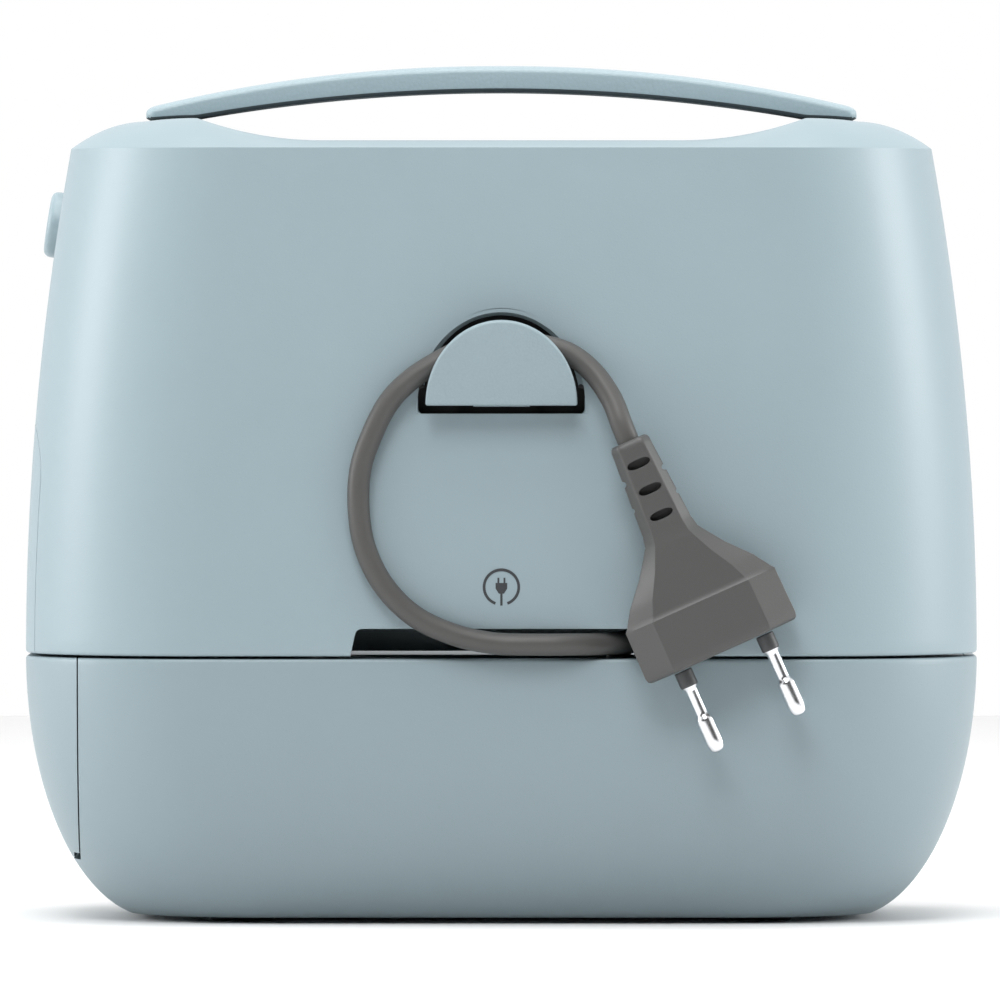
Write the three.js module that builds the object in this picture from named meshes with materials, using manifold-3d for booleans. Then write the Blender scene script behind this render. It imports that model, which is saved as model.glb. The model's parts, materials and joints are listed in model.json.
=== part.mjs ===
// A compact portable sewing machine: closed rounded back, strap handle on two horns, a sewing bay that is
// open to the front and to the left end, and a mains cord that stows in the base and hangs on a back hook.
// Millimetres, +Z up. X runs along the arm (+X is the handwheel end), +Y is the back, z = 0 is the table.
import * as THREE from 'three';
import { mergeVertices } from 'three/addons/utils/BufferGeometryUtils.js';
import Module from 'manifold-3d';

const wasm = await Module();
wasm.setup();

// ---- driving dimensions -------------------------------------------------------------------------
const WIDTH = 205.4;            // widest, at the seam
const DEPTH = 122;              // front to back, at the seam
const SEAM_Z = 57.5;            // height of the joint between base and upper housing
const SEAM_GAP = 0.6;
const WALL_TOP_Z = 166.5;       // where the upright walls end
const DECK_Z = 168.2;           // top deck between the horns
const HORN_Z = 173;             // top of the two horns that carry the strap
const CORNER_R = 38;            // plan radius of the upright corners
const WALL = 2.5;               // shell thickness
const FIT = 0.3;                // clearance between neighbouring pieces
const SIDE_LEAN = 9.7;          // how far the side walls lean in by the top
const BACK_LEAN = 4;            // the same for front and back
const SIDE_TUCK = 28;           // how far the base curves under at the sides
const BACK_TUCK = 24;           // the same for front and back
const FOOT_H = 1.2;             // the base stands this far above the table
const HORN_IN = 65.4;           // inner edge of a horn's ridge, from the middle
const HORN_OUT = 76.9;          // outer edge of a horn's ridge
const HORN_FOOT = 39;           // where the inner slope of a horn starts
const CROWN = 16;               // width of the rounded border of the top deck

const SPLIT_Y = 20.5;           // plane between the back housing and the front housing
const BAY_RIGHT = 40;           // the sewing bay ends here, at the column
const BAY_TOP = 118;            // underside of the arm
const HEAD_RIGHT = -48;         // the head hangs down left of this
const HEAD_BOTTOM = 102;        // underside of the head

const AXIS_Y = -20;             // both drive shafts and the needle lie in this plane
const LOWER_Z = 32;             // height of the lower shaft
const NEEDLE_X = -70;
const SHAFT_R = 3.5;
const CRANK_R = 12;             // half of the needle's stroke
const BEARING_GAP = 0.35;       // radial clearance of shafts in their lugs

const KNOB_R = 7.2;             // handwheel knob
const KNOB_PROUD = 4.4;
const KNOB_Z = 150;
const PULLEY_X = 53;            // the motor's belt runs in this plane
const TIMING_X = 46;            // the timing belt runs in this plane
const TIMING_R = 9;
const WHEEL_R = 13;             // belt wheel on the upper shaft
const MOTOR_PULLEY_R = 5;
const MOTOR_Y = 38;
const MOTOR_Z = 88;
const MOTOR_R = 15;
const MOTOR_X0 = 6;             // the motor's body runs from here
const MOTOR_X1 = 46;            // to here, beside its pulley

const PLATE_T = 2.2;            // deck plate, needle plate and bobbin cover
const BOBBIN_Y = -37;           // the bobbin's upright axis lies this side of the needle
const HOOK_R = 15.2;            // rotary hook
const BOBBIN_R = 10.2;

const HATCH_Y = 35.7;           // half width of the side hatch
const HATCH_TOP = 107;
const HATCH_R = 13;
const NICHE_DEEP = 23;          // depth of the niche behind the hatch
const DRAWER_END = 11.7;        // the drawer front is this much of the base's right end
const DRAWER_X = WIDTH / 2 - DRAWER_END;
const DRAWER_Z = 12;            // and above this
const DRAWER_LEN = 36;          // the tray reaches in this far behind the drawer front
const DRAWER_IN = DRAWER_X - DRAWER_LEN;
const DRAWER_HALF = 31;         // half width of the tray

const STRAP_HALF = 77;          // strap handle, from the middle to its tips
const STRAP_W = 25;
const STRAP_TOP = 184.7;
const STRAP_T = 5.8;
const STUD_R = 4;

const FLAP_W = 32.4;            // half-round cord hook
const FLAP_H = 18.3;
const FLAP_T = 2.2;
const FLAP_Z = 111.7;
const FLAP_PROUD = 3.1;         // the hook's foot stands this far out from the seam line
const FLAP_OUT = DEPTH / 2 + FLAP_PROUD;
const FLAP_TILT = 10;           // degrees
const CUP_GAP = 1.7;            // the recess behind the hook is this much larger all round
const CUP_DEPTH = 10;
const NOTCH_W = 66;             // opening for the cord in the bottom edge of the back
const NOTCH_TOP_W = 62;
const NOTCH_H = 5.9;

const CORD_D = 4.8;
const COIL_MEAN_R = 24;         // stowed cord
const COIL_TURNS_W = 14.6;      // width and height of the bundle of turns
const WELL_X = 0;
const WELL_Y = 20;
const WELL_Z = 33;              // floor of the cord well
const PLUG_W = 35;
const PLUG_T = 13.7;
const PIN_GAP = 19;
const PIN_LEN = 19;

// ---- small tools ----------------------------------------------------------------------------------
const V = (x, y, z) => new THREE.Vector3(x, y, z);
const rad = THREE.MathUtils.degToRad;
const parts = new THREE.Group();

function toSolid(geometry) {
  if (!(geometry instanceof THREE.BufferGeometry)) return geometry;
  const g = geometry.clone();
  g.deleteAttribute('normal');
  g.deleteAttribute('uv');
  const m = mergeVertices(g, 1e-4);
  const index = m.index.array, kept = [];
  for (let i = 0; i < index.length; i += 3) {
    const [a, b, c] = [index[i], index[i + 1], index[i + 2]];
    if (a !== b && b !== c && c !== a) kept.push(a, b, c);
  }
  return new wasm.Manifold(new wasm.Mesh({
    numProp: 3,
    vertProperties: new Float32Array(m.attributes.position.array),
    triVerts: new Uint32Array(kept),
  }));
}

function toGeometry(shape) {
  const mesh = shape.getMesh(), g = new THREE.BufferGeometry();
  g.setAttribute('position', new THREE.BufferAttribute(new Float32Array(mesh.vertProperties), 3));
  g.setIndex(new THREE.BufferAttribute(new Uint32Array(mesh.triVerts), 1));
  return g;
}

const cut = (first, ...rest) => rest.reduce((a, b) => a.subtract(toSolid(b)), toSolid(first));
const join = (first, ...rest) => rest.reduce((a, b) => a.add(toSolid(b)), toSolid(first));
const common = (first, ...rest) => rest.reduce((a, b) => a.intersect(toSolid(b)), toSolid(first));

function add(name, shape, color, roughness = 0.5, metalness = 0) {
  const geometry = toGeometry(toSolid(shape));
  geometry.computeVertexNormals();
  const mesh = new THREE.Mesh(geometry, new THREE.MeshStandardMaterial({ color, roughness, metalness }));
  mesh.name = name;
  parts.add(mesh);
  return mesh;
}

// A box from its lowest to its highest corner.
function box(x0, x1, y0, y1, z0, z1) {
  const g = new THREE.BoxGeometry(x1 - x0, y1 - y0, z1 - z0);
  return g.translate((x0 + x1) / 2, (y0 + y1) / 2, (z0 + z1) / 2);
}

// A cylinder from point a to point b.
function rod(a, b, r, sides = 20, r2 = r) {
  const g = new THREE.CylinderGeometry(r2, r, a.distanceTo(b), sides);
  const turn = new THREE.Quaternion().setFromUnitVectors(V(0, 1, 0), b.clone().sub(a).normalize());
  g.applyQuaternion(turn);
  return g.translate((a.x + b.x) / 2, (a.y + b.y) / 2, (a.z + b.z) / 2);
}

// A solid of revolution; profile holds [radius, height] pairs, and height runs from point a towards b.
function turned(profile, a, b, sides = 24) {
  const g = new THREE.LatheGeometry(profile.map(([r, h]) => new THREE.Vector2(r, h)), sides);
  const turn = new THREE.Quaternion().setFromUnitVectors(V(0, 1, 0), b.clone().sub(a).normalize());
  g.applyQuaternion(turn);
  return g.translate(a.x, a.y, a.z);
}

// A flat outline in X and Z, given thickness from y0 to y1.
function slabXZ(points, y0, y1) {
  const shape = new THREE.Shape(points.map(([x, z]) => new THREE.Vector2(x, z)));
  const g = new THREE.ExtrudeGeometry(shape, { depth: y1 - y0, bevelEnabled: false });
  return g.rotateX(Math.PI / 2).translate(0, y1, 0);
}

// A flat outline in Y and Z, given thickness from x0 to x1.
function slabYZ(points, x0, x1) {
  const shape = new THREE.Shape(points.map(([y, z]) => new THREE.Vector2(y, z)));
  const g = new THREE.ExtrudeGeometry(shape, { depth: x1 - x0, bevelEnabled: false });
  return g.rotateX(Math.PI / 2).rotateZ(Math.PI / 2).translate(x0, 0, 0);
}

// Skins a stack of equal rings of points; the first and last are closed with a fan, unless they fold shut.
function loft(rings, capStart = true, capEnd = true) {
  const n = rings[0].length, position = [], index = [];
  rings.flat().forEach((p) => position.push(p.x, p.y, p.z));
  for (let k = 0; k + 1 < rings.length; k++) {
    for (let i = 0; i < n; i++) {
      const a = k * n + i, b = k * n + ((i + 1) % n);
      index.push(a, b, b + n, a, b + n, a + n);
    }
  }
  const cap = (ring, start, flip) => {
    const c = ring.reduce((s, p) => s.add(p), V(0, 0, 0)).divideScalar(n), at = position.length / 3;
    position.push(c.x, c.y, c.z);
    for (let i = 0; i < n; i++) {
      const a = start + i, b = start + ((i + 1) % n);
      index.push(...(flip ? [at, b, a] : [at, a, b]));
    }
  };
  if (capStart) cap(rings[0], 0, true);
  if (capEnd) cap(rings[rings.length - 1], (rings.length - 1) * n, false);
  const g = new THREE.BufferGeometry();
  g.setAttribute('position', new THREE.Float32BufferAttribute(position, 3));
  g.setIndex(index);
  return g;
}

// A rounded rectangle, anticlockwise seen from above, moved in by inset.
const LONG_STEPS = 8, SHORT_STEPS = 2, ARC_STEPS = 5;
function outline(halfW, halfD, r, inset) {
  const radius = Math.max(r - inset, 0), w = halfW - Math.max(inset, r), d = halfD - Math.max(inset, r);
  const points = [];
  const corners = [[w, d, 0], [-w, d, 90], [-w, -d, 180], [w, -d, 270]];
  corners.forEach(([cx, cy, from], k) => {
    for (let i = 0; i <= ARC_STEPS; i++) {
      const t = rad(from + (90 * i) / ARC_STEPS);
      points.push([cx + radius * Math.cos(t), cy + radius * Math.sin(t)]);
    }
    const [nx, ny] = corners[(k + 1) % 4], steps = k % 2 ? SHORT_STEPS : LONG_STEPS;
    const [ex, ey] = points[points.length - 1], turn = rad(from + 90);
    const [fx, fy] = [nx + radius * Math.cos(turn), ny + radius * Math.sin(turn)];
    for (let i = 1; i < steps; i++) {
      points.push([ex + ((fx - ex) * i) / steps, ey + ((fy - ey) * i) / steps]);
    }
  });
  return points;
}

// ---- the outer form -------------------------------------------------------------------------------
const lean = (z) => ((z - SEAM_Z) / (WALL_TOP_Z - SEAM_Z)) ** 2;
const tuck = (z) => 1 - Math.sqrt(Math.max(0, 1 - ((SEAM_Z - z) / SEAM_Z) ** 2));
const sideAt = (z) => WIDTH / 2 - (z > SEAM_Z ? SIDE_LEAN * lean(z) : SIDE_TUCK * tuck(z));
const backAt = (z) => DEPTH / 2 - (z > SEAM_Z ? BACK_LEAN * lean(z) : BACK_TUCK * tuck(z));
const cornerAt = (z) => CORNER_R - (z > SEAM_Z ? 0 : 10 * tuck(z));

function ridge(x) {
  const a = Math.abs(x);
  if (a < HORN_FOOT) return DECK_Z;
  if (a < HORN_IN) return DECK_Z + (HORN_Z - DECK_Z) * ((a - HORN_FOOT) / (HORN_IN - HORN_FOOT)) ** 2;
  return HORN_Z - 0.6 * Math.min(1, (a - HORN_IN) / (HORN_OUT - HORN_IN)) ** 2;
}
const crown = (inset) => 1 - (1 - Math.min(1, inset / CROWN)) ** 2;
const topAt = (x, inset) => WALL_TOP_Z + crown(inset) * (ridge(x) - WALL_TOP_Z);

const UPPER_LEVELS = [80, 105, 130, 150];
const TOP_INSETS = [1.5, 4, 8, 12, CROWN, 21, 27.5, 40, 54];
function upperForm(inset, fromZ, coarse) {
  const ring = (z, r) => outline(sideAt(z), backAt(z), cornerAt(z), inset + r).map(([x, y]) => V(x, y, z));
  const levels = [fromZ, ...(coarse ? [105, 145] : UPPER_LEVELS).filter((z) => z > fromZ), WALL_TOP_Z - inset];
  const rings = levels.map((z) => ring(z, 0));
  const [w, d] = [sideAt(WALL_TOP_Z), backAt(WALL_TOP_Z)];
  const insets = coarse ? [5, CROWN, 27.5, 40, d - inset] : [...TOP_INSETS, d];
  insets.forEach((r) => {
    const points = outline(w, d, cornerAt(WALL_TOP_Z), inset + r);
    rings.push(points.map(([x, y]) => V(x, r + inset >= d ? 0 : y, topAt(x, r) - inset)));
  });
  return loft(rings, true, false);
}

function lowerForm(inset, floorZ, topZ, steps) {
  const rings = [];
  for (let i = 0; i <= steps; i++) {
    const a = (i / steps) * Math.asin(1 - floorZ / SEAM_Z);
    const z = i === steps ? floorZ : Math.min(topZ, SEAM_Z - SEAM_Z * Math.sin(a));
    rings.unshift(outline(sideAt(z), backAt(z), cornerAt(z), inset).map(([x, y]) => V(x, y, z)));
  }
  return loft(rings);
}

const seamLow = SEAM_Z - SEAM_GAP / 2, seamHigh = SEAM_Z + SEAM_GAP / 2;
const outerUpper = toSolid(upperForm(0, seamHigh, false));
const innerUpper = toSolid(upperForm(WALL, seamHigh - 1, true));
const outerLower = toSolid(lowerForm(0, FOOT_H, seamLow, 7));
const innerLower = toSolid(lowerForm(WALL, FOOT_H + WALL, seamLow + 1, 6));
const upperSkin = outerUpper.subtract(innerUpper);
const lowerSkin = outerLower.subtract(innerLower);

// ---- colours --------------------------------------------------------------------------------------
const SHELL = 0xa3b6bd, BASE = 0x98abb2, LIGHT = 0xd1dadc, DARK = 0x4b4b4b, CORD = 0x6b6a68;
const STEEL = 0xb8bcc0, GRAPHITE = 0x2f3234, STRAP = 0x9db1b9, GREEN = 0x2f6b4a;

// ---- cord hook on the back ------------------------------------------------------------------------
const flapTilt = rad(FLAP_TILT);
function halfDisc(halfW, height, below, steps = 14) {
  const points = [];
  for (let i = 0; i <= steps; i++) {
    const t = (Math.PI * i) / steps;
    points.push([halfW * Math.cos(t), height * Math.sin(t)]);
  }
  return below ? [...points, [-halfW, -below], [halfW, -below]] : points;
}
const pivotR = 1.6, pivotHole = pivotR + BEARING_GAP;
const PIVOT_Z = FLAP_Z + 2.6, PIVOT_Y = FLAP_OUT - 5;

function cordHook() {
  const plate = slabXZ(halfDisc(FLAP_W / 2, FLAP_H, 0), 0, FLAP_T);
  plate.rotateX(-flapTilt).translate(0, FLAP_OUT, FLAP_Z);
  const arm = join(
    box(-6, 6, PIVOT_Y, FLAP_OUT + 1, PIVOT_Z - 2.2, PIVOT_Z + 2.2),
    rod(V(-6, PIVOT_Y, PIVOT_Z), V(6, PIVOT_Y, PIVOT_Z), 3.2),
  );
  const flap = cut(join(plate, arm), rod(V(-9, PIVOT_Y, PIVOT_Z), V(9, PIVOT_Y, PIVOT_Z), pivotHole));
  return add('cord_hook_flap', flap, SHELL, 0.6);
}
const hookMesh = cordHook();
hookMesh.geometry.computeBoundingBox();
const REACH_Y = hookMesh.geometry.boundingBox.max.y;   // the front controls reach as far as the hook does

const cupHalf = FLAP_W / 2 + CUP_GAP, cupBelow = 2;
const cupZ = FLAP_Z, cupBack = backAt(FLAP_Z) - CUP_DEPTH;
const cupForm = (grow, y0, y1) =>
  slabXZ(halfDisc(cupHalf + grow, FLAP_H + CUP_GAP + grow, cupBelow + grow), y0, y1).translate(0, 0, cupZ);
{
  const rim = backAt(FLAP_Z + FLAP_H) - 0.4;
  const cup = cut(cupForm(1.2, cupBack - 1.2, rim), cupForm(0, cupBack, rim + 5));
  const lugs = [-1, 1].map((s) => box(s > 0 ? 7 : -9.5, s > 0 ? 9.5 : -7, cupBack - 0.2, PIVOT_Y + 2.6,
    cupZ - cupBelow - 0.6, PIVOT_Z + 2.6));
  const pinHole = rod(V(-20, PIVOT_Y, PIVOT_Z), V(20, PIVOT_Y, PIVOT_Z), pivotR + 0.05);
  add('hook_cup', cut(join(cup, ...lugs), pinHole), 0x9fb2b9, 0.6);
  add('hook_pin', rod(V(-9.4, PIVOT_Y, PIVOT_Z), V(9.4, PIVOT_Y, PIVOT_Z), pivotR, 16), STEEL, 0.3, 1);
}

// ---- housings -------------------------------------------------------------------------------------
const far = 300;
const notch = slabXZ([
  [-NOTCH_W / 2, SEAM_Z - 3], [NOTCH_W / 2, SEAM_Z - 3], [NOTCH_TOP_W / 2, seamHigh + NOTCH_H],
  [-NOTCH_TOP_W / 2, seamHigh + NOTCH_H],
], 30, far);
function hatchForm(grow, x0, x1) {
  const w = HATCH_Y + grow, top = HATCH_TOP + grow, r = HATCH_R + grow, points = [];
  for (let i = 0; i <= 5; i++) {
    const t = rad(18 * i);
    points.push([w - r + r * Math.cos(t), top - r + r * Math.sin(t)]);
  }
  const left = points.map(([y, z]) => [-y, z]).reverse();
  return slabYZ([[-w, seamLow - 2], [w, seamLow - 2], ...points, ...left], x0, x1);
}
const studXs = [(HORN_IN + HORN_OUT) / 2, -(HORN_IN + HORN_OUT) / 2];
const studHoles = studXs.map((x) => rod(V(x, 0, 150), V(x, 0, 190), STUD_R + FIT, 16));

// The knob's axis is square to the leaning side wall and meets the upper shaft.
const knobTilt = Math.atan((2 * SIDE_LEAN * (KNOB_Z - SEAM_Z)) / (WALL_TOP_Z - SEAM_Z) ** 2);
const knobDir = V(Math.cos(knobTilt), 0, Math.sin(knobTilt));
const knobAt = V(sideAt(KNOB_Z), AXIS_Y, KNOB_Z);
const SHAFT_END = 62;
const UPPER_Z = KNOB_Z - (knobAt.x - SHAFT_END) * Math.tan(knobTilt);
const along = (s) => knobAt.clone().addScaledVector(knobDir, s);

const faceZ0 = HEAD_BOTTOM + 3, faceZ1 = 158, FACE_X = -84, FACE_Y0 = -44, FACE_Y1 = 8;
const faceForm = (g) => box(-far, FACE_X + g, FACE_Y0 - g, FACE_Y1 + g, faceZ0 - g, faceZ1 + g);
const takeupX = -55, takeupZ0 = 120, takeupZ1 = 158;
const spoolX = 22, spoolY = -42, SPOOL_R = 3.2;

{
  const backBox = box(-far, far, SPLIT_Y + FIT / 2, far, seamHigh - 2, far);
  const hatchHole = hatchForm(FIT, 80, far);
  const shell = cut(common(upperSkin, backBox), notch, hatchHole, cupForm(1.2 + FIT, 30, far), ...studHoles);
  add('back_housing', shell, SHELL, 0.45);
}

const dialXs = { stitch: 70, length: 12, tension: -26 };
const dialZs = { stitch: 128, length: 141, tension: 141 };
const buttonX = 52, buttonZ = 92, reverseX = 70, reverseZ = 92;
const frontAt = (z) => -backAt(z);
{
  const frontBox = box(-far, far, -far, SPLIT_Y - FIT / 2, seamHigh - 2, far);
  const bay = join(
    box(-far, BAY_RIGHT, -far, SPLIT_Y + 5, 0, HEAD_BOTTOM),
    box(HEAD_RIGHT, BAY_RIGHT, -far, SPLIT_Y + 5, 0, BAY_TOP),
  );
  const bayWall = join(
    box(-far, BAY_RIGHT + WALL, -far, SPLIT_Y + 5, 0, HEAD_BOTTOM + WALL),
    box(HEAD_RIGHT - WALL, BAY_RIGHT + WALL, -far, SPLIT_Y + 5, 0, BAY_TOP + WALL),
  );
  const hollow = innerUpper.subtract(toSolid(bayWall));
  const hole = (x, z, r, y0, y1) => rod(V(x, y0, z), V(x, y1, z), r, 20);
  const shell = cut(
    outerUpper.intersect(toSolid(frontBox)).subtract(toSolid(bay)), hollow,
    hatchForm(FIT, 80, far), faceForm(FIT), ...studHoles,
    rod(along(-12), along(8), KNOB_R + FIT, 28),
    hole(dialXs.stitch, dialZs.stitch, 3.4, -far, -40), hole(dialXs.length, dialZs.length, 3.4, -far, -40),
    hole(dialXs.tension, dialZs.tension, 3.4, -far, -40),
    hole(buttonX, buttonZ, 5.4, -far, -40), hole(reverseX, reverseZ, 5.4, -far, -40),
    box(takeupX - 2.4, takeupX + 2.4, -far, -45, takeupZ0, takeupZ1),
    rod(V(NEEDLE_X, AXIS_Y, 90), V(NEEDLE_X, AXIS_Y, 110), 5, 20),
    rod(V(NEEDLE_X, AXIS_Y + 14, 90), V(NEEDLE_X, AXIS_Y + 14, 110), 4.4, 20),
    box(NEEDLE_X + 5.5, NEEDLE_X + 12, AXIS_Y + 14, SPLIT_Y + 3, 98, 112),
    box(-44, -30, -46, -30, 110, 125),
    rod(V(spoolX, spoolY, 150), V(spoolX, spoolY, 190), SPOOL_R + FIT, 20),
  );
  add('front_housing', shell, SHELL, 0.45);
}

{
  const cover = common(upperSkin, faceForm(0));
  add('face_cover', cover, SHELL, 0.45);
}

// Panel that closes the back housing towards the bay.
{
  const slab = box(-far, BAY_RIGHT - FIT, SPLIT_Y - WALL, SPLIT_Y - FIT / 2, seamHigh + 0.2, BAY_TOP - FIT);
  const under = box(-far, HEAD_RIGHT + FIT, -far, far, HEAD_BOTTOM - FIT, far);
  const form = toSolid(upperForm(0.4, seamHigh, true));
  add('bay_panel', cut(common(form, slab), under), SHELL, 0.45);
}

// ---- base -----------------------------------------------------------------------------------------
const deckZ = seamLow - PLATE_T;
const coverX0 = -88, coverX1 = -52, coverY1 = AXIS_Y - 6.5;
const drawerForm = box(DRAWER_X, far, -far, far, DRAWER_Z, far);
{
  const endCut = box(DRAWER_X - FIT, far, -far, far, DRAWER_Z - FIT, far);
  const trayCut = box(DRAWER_IN - 3, far, -DRAWER_HALF - 1, DRAWER_HALF + 1, DRAWER_Z + 1.5, 53);
  const coverCut = box(coverX0 - FIT, coverX1 + FIT, -far, -44, deckZ - FIT, far);
  const shell = cut(lowerSkin, endCut, trayCut, coverCut);
  add('base_shell', shell, BASE, 0.5);
}
const deckOutline = (inset, z0, z1) => {
  const ring = (z) => outline(sideAt(SEAM_Z), backAt(SEAM_Z), CORNER_R, inset).map(([x, y]) => V(x, y, z));
  return loft([ring(z0), ring(z1)]);
};
const needlePlate = { x0: -90, x1: -50, y0: coverY1 + FIT, y1: 4 };
const wellR = COIL_MEAN_R + COIL_TURNS_W / 2 + 1;
{
  const plate = common(deckOutline(WALL + FIT, deckZ, seamLow), box(-far, DRAWER_X - FIT, -far, far, 0, far));
  const p = needlePlate;
  add('deck_plate', cut(
    plate,
    box(p.x0 - FIT, p.x1 + FIT, p.y0 - 1, p.y1 + FIT, 0, far),
    box(coverX0 - FIT, coverX1 + FIT, -far, coverY1 + 1, 0, far),
    box(TIMING_X - 6, TIMING_X + 6, AXIS_Y - 14, AXIS_Y + 14, 0, far),
    common(rod(V(WELL_X, WELL_Y, 40), V(WELL_X, WELL_Y, 70), wellR, 32), box(-far, far, SPLIT_Y + 1, far, 0, far)),
  ), SHELL, 0.45);

  const slots = [-5.2, 2.8].map((x) => box(NEEDLE_X + x, NEEDLE_X + x + 2.4, AXIS_Y - 5, AXIS_Y + 8, 0, far));
  const plateCut = cut(
    box(p.x0, p.x1, p.y0, p.y1, deckZ, seamLow), ...slots,
    rod(V(NEEDLE_X, AXIS_Y, 40), V(NEEDLE_X, AXIS_Y, 70), 1.2, 12),
  );
  add('needle_plate', plateCut, STEEL, 0.25, 1);
  const cover = common(box(coverX0, coverX1, -far, coverY1, deckZ, seamLow), outerLower);
  add('bobbin_cover', cover, 0xcfd6d8, 0.2);

  const bar = box(NEEDLE_X - 5.2, NEEDLE_X + 5.2, AXIS_Y - 1.5, AXIS_Y + 4.5, deckZ - 5, deckZ - 1);
  const teeth = [-4.9, 3.1].map((x) =>
    box(NEEDLE_X + x, NEEDLE_X + x + 1.8, AXIS_Y - 2.5, AXIS_Y + 5.5, deckZ - 2, seamLow + 0.6));
  const clearHole = rod(V(NEEDLE_X, AXIS_Y, 40), V(NEEDLE_X, AXIS_Y, 70), 2, 12);
  add('feed_dog', cut(join(bar, ...teeth), clearHole), STEEL, 0.3, 1);
}

// Feet
[[1, 1], [-1, 1], [-1, -1], [1, -1]].forEach(([sx, sy], i) => {
  const at = V(sx * 56, sy * 22, 0);
  add(`foot_${i + 1}`, turned([[0, 0], [6.4, 0], [7, 0.5], [7, FOOT_H - 0.05], [0, FOOT_H - 0.05]], at,
    at.clone().setZ(1), 14), GRAPHITE, 0.8);
});

// Accessory drawer: its front is the end of the base.
{
  const front = common(outerLower, drawerForm).subtract(toSolid(
    box(DRAWER_X - 1, DRAWER_X + 2.5, -far, far, DRAWER_Z - 1, DRAWER_Z + 1.5)));
  const skin = common(front, drawerForm);
  const tray = cut(
    box(DRAWER_IN, DRAWER_X + 3, -DRAWER_HALF, DRAWER_HALF, DRAWER_Z + 2.5, 50),
    box(DRAWER_IN + 1.6, DRAWER_X - 1, -DRAWER_HALF + 1.6, DRAWER_HALF - 1.6, DRAWER_Z + 4.3, 60),
  );
  add('accessory_drawer', join(skin, common(tray, outerLower)), BASE, 0.5);
}

// ---- side hatch and its niche ---------------------------------------------------------------------
const hatchSkin = common(upperSkin, hatchForm(0, 80, far));
add('side_hatch', common(hatchSkin, box(80, far, -far, far, seamHigh, far)), SHELL, 0.45);
{
  const x1 = sideAt(HATCH_TOP) - WALL - 1.2, x0 = x1 - NICHE_DEEP;
  const pegY = BOBBIN_R + 1.8, w = pegY + BOBBIN_R + 3.8, z0 = seamHigh + 3, z1 = 100;
  const niche = cut(box(x0, x1, -w, w, z0, z1), box(x0 + 1.6, x1 + 5, -w + 1.6, w - 1.6, z0 + 1.6, z1 - 1.6));
  const pegs = [-pegY, pegY].map((y) => rod(V(x0 + 1, y, 80), V(x0 + 14, y, 80), 2.6, 14));
  add('hatch_niche', join(niche, ...pegs), DARK, 0.6);
  [-pegY, pegY].forEach((y, i) => add(`spare_bobbin_${i + 1}`, turned(
    [[2.9, 0], [BOBBIN_R, 0], [BOBBIN_R, 1], [4.5, 1], [4.5, 9], [BOBBIN_R, 9], [BOBBIN_R, 10], [2.9, 10], [2.9, 0]],
    V(x0 + 2, y, 80), V(x0 + 3, y, 80), 14), 0xdfe4e6, 0.3));
}

// ---- strap handle ---------------------------------------------------------------------------------
{
  const steps = 16, top = [], low = [];
  for (let i = 0; i <= steps; i++) {
    const x = STRAP_HALF * Math.cos((Math.PI * i) / steps), u = Math.abs(x) / STRAP_HALF;
    top.push([x, STRAP_TOP - 9.1 * u ** 2.1]);
  }
  const seat = HORN_Z + 0.25, arch = STRAP_TOP - STRAP_T;
  for (let i = 0; i <= steps; i++) {
    const x = -HORN_IN * Math.cos((Math.PI * i) / steps), u = Math.abs(x) / HORN_IN;
    low.push([x, arch - (arch - seat) * u ** 2]);
  }
  const outlineXZ = [...top, [-STRAP_HALF, seat], ...low, [STRAP_HALF, seat]];
  add('handle_strap', slabXZ(outlineXZ, -STRAP_W / 2, STRAP_W / 2), STRAP, 0.7);
  studXs.forEach((x, i) => add(`handle_stud_${i + 1}`, join(
    rod(V(x, 0, HORN_Z - 8), V(x, 0, HORN_Z), STUD_R, 16), rod(V(x, 0, HORN_Z - 9), V(x, 0, HORN_Z - 6), STUD_R + 3, 16),
  ), STEEL, 0.3, 1));
}

// ---- upper drive ----------------------------------------------------------------------------------
const crankX = -58;
const timingPulley = (z) => turned([
  [0, -3], [TIMING_R + 1, -3], [TIMING_R, -2.2], [TIMING_R, 2.2], [TIMING_R + 1, 3], [0, 3],
], V(TIMING_X, AXIS_Y, z), V(TIMING_X + 1, AXIS_Y, z), 28);
{
  const cap = turned([
    [0, -14], [3, -14], [3, -4], [KNOB_R - 0.6, -4], [KNOB_R, -3.4], [KNOB_R, KNOB_PROUD - 1.6],
    [KNOB_R - 0.5, KNOB_PROUD - 0.5], [KNOB_R - 1.6, KNOB_PROUD], [0, KNOB_PROUD],
  ], knobAt, along(1), 24);
  const stub = rod(along(-28), along(-13), 3, 16);
  add('handwheel_knob', join(cap, stub), SHELL, 0.4);
  add('upper_shaft', join(
    rod(V(crankX, AXIS_Y, UPPER_Z), V(SHAFT_END, AXIS_Y, UPPER_Z), SHAFT_R, 20), timingPulley(UPPER_Z),
  ), STEEL, 0.25, 1);
  const disc = join(
    rod(V(crankX - 6, AXIS_Y, UPPER_Z), V(crankX - FIT, AXIS_Y, UPPER_Z), 6, 20),
    box(crankX - 4, crankX - FIT, AXIS_Y - 5, AXIS_Y + 5, UPPER_Z, UPPER_Z + CRANK_R),
    rod(V(crankX - 7, AXIS_Y, UPPER_Z + CRANK_R), V(crankX - FIT, AXIS_Y, UPPER_Z + CRANK_R), 4, 16),
  );
  add('crank_disc', disc, STEEL, 0.35, 1);
  const [hub, r] = [SHAFT_R + FIT, WHEEL_R];
  add('belt_wheel', turned([
    [hub, -3], [r + 1, -3], [r, -2.2], [r, 2.2], [r + 1, 3], [hub, 3], [hub, -3],
  ], V(PULLEY_X, AXIS_Y, UPPER_Z), V(PULLEY_X + 1, AXIS_Y, UPPER_Z), 28), GRAPHITE, 0.5);
}

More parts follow.
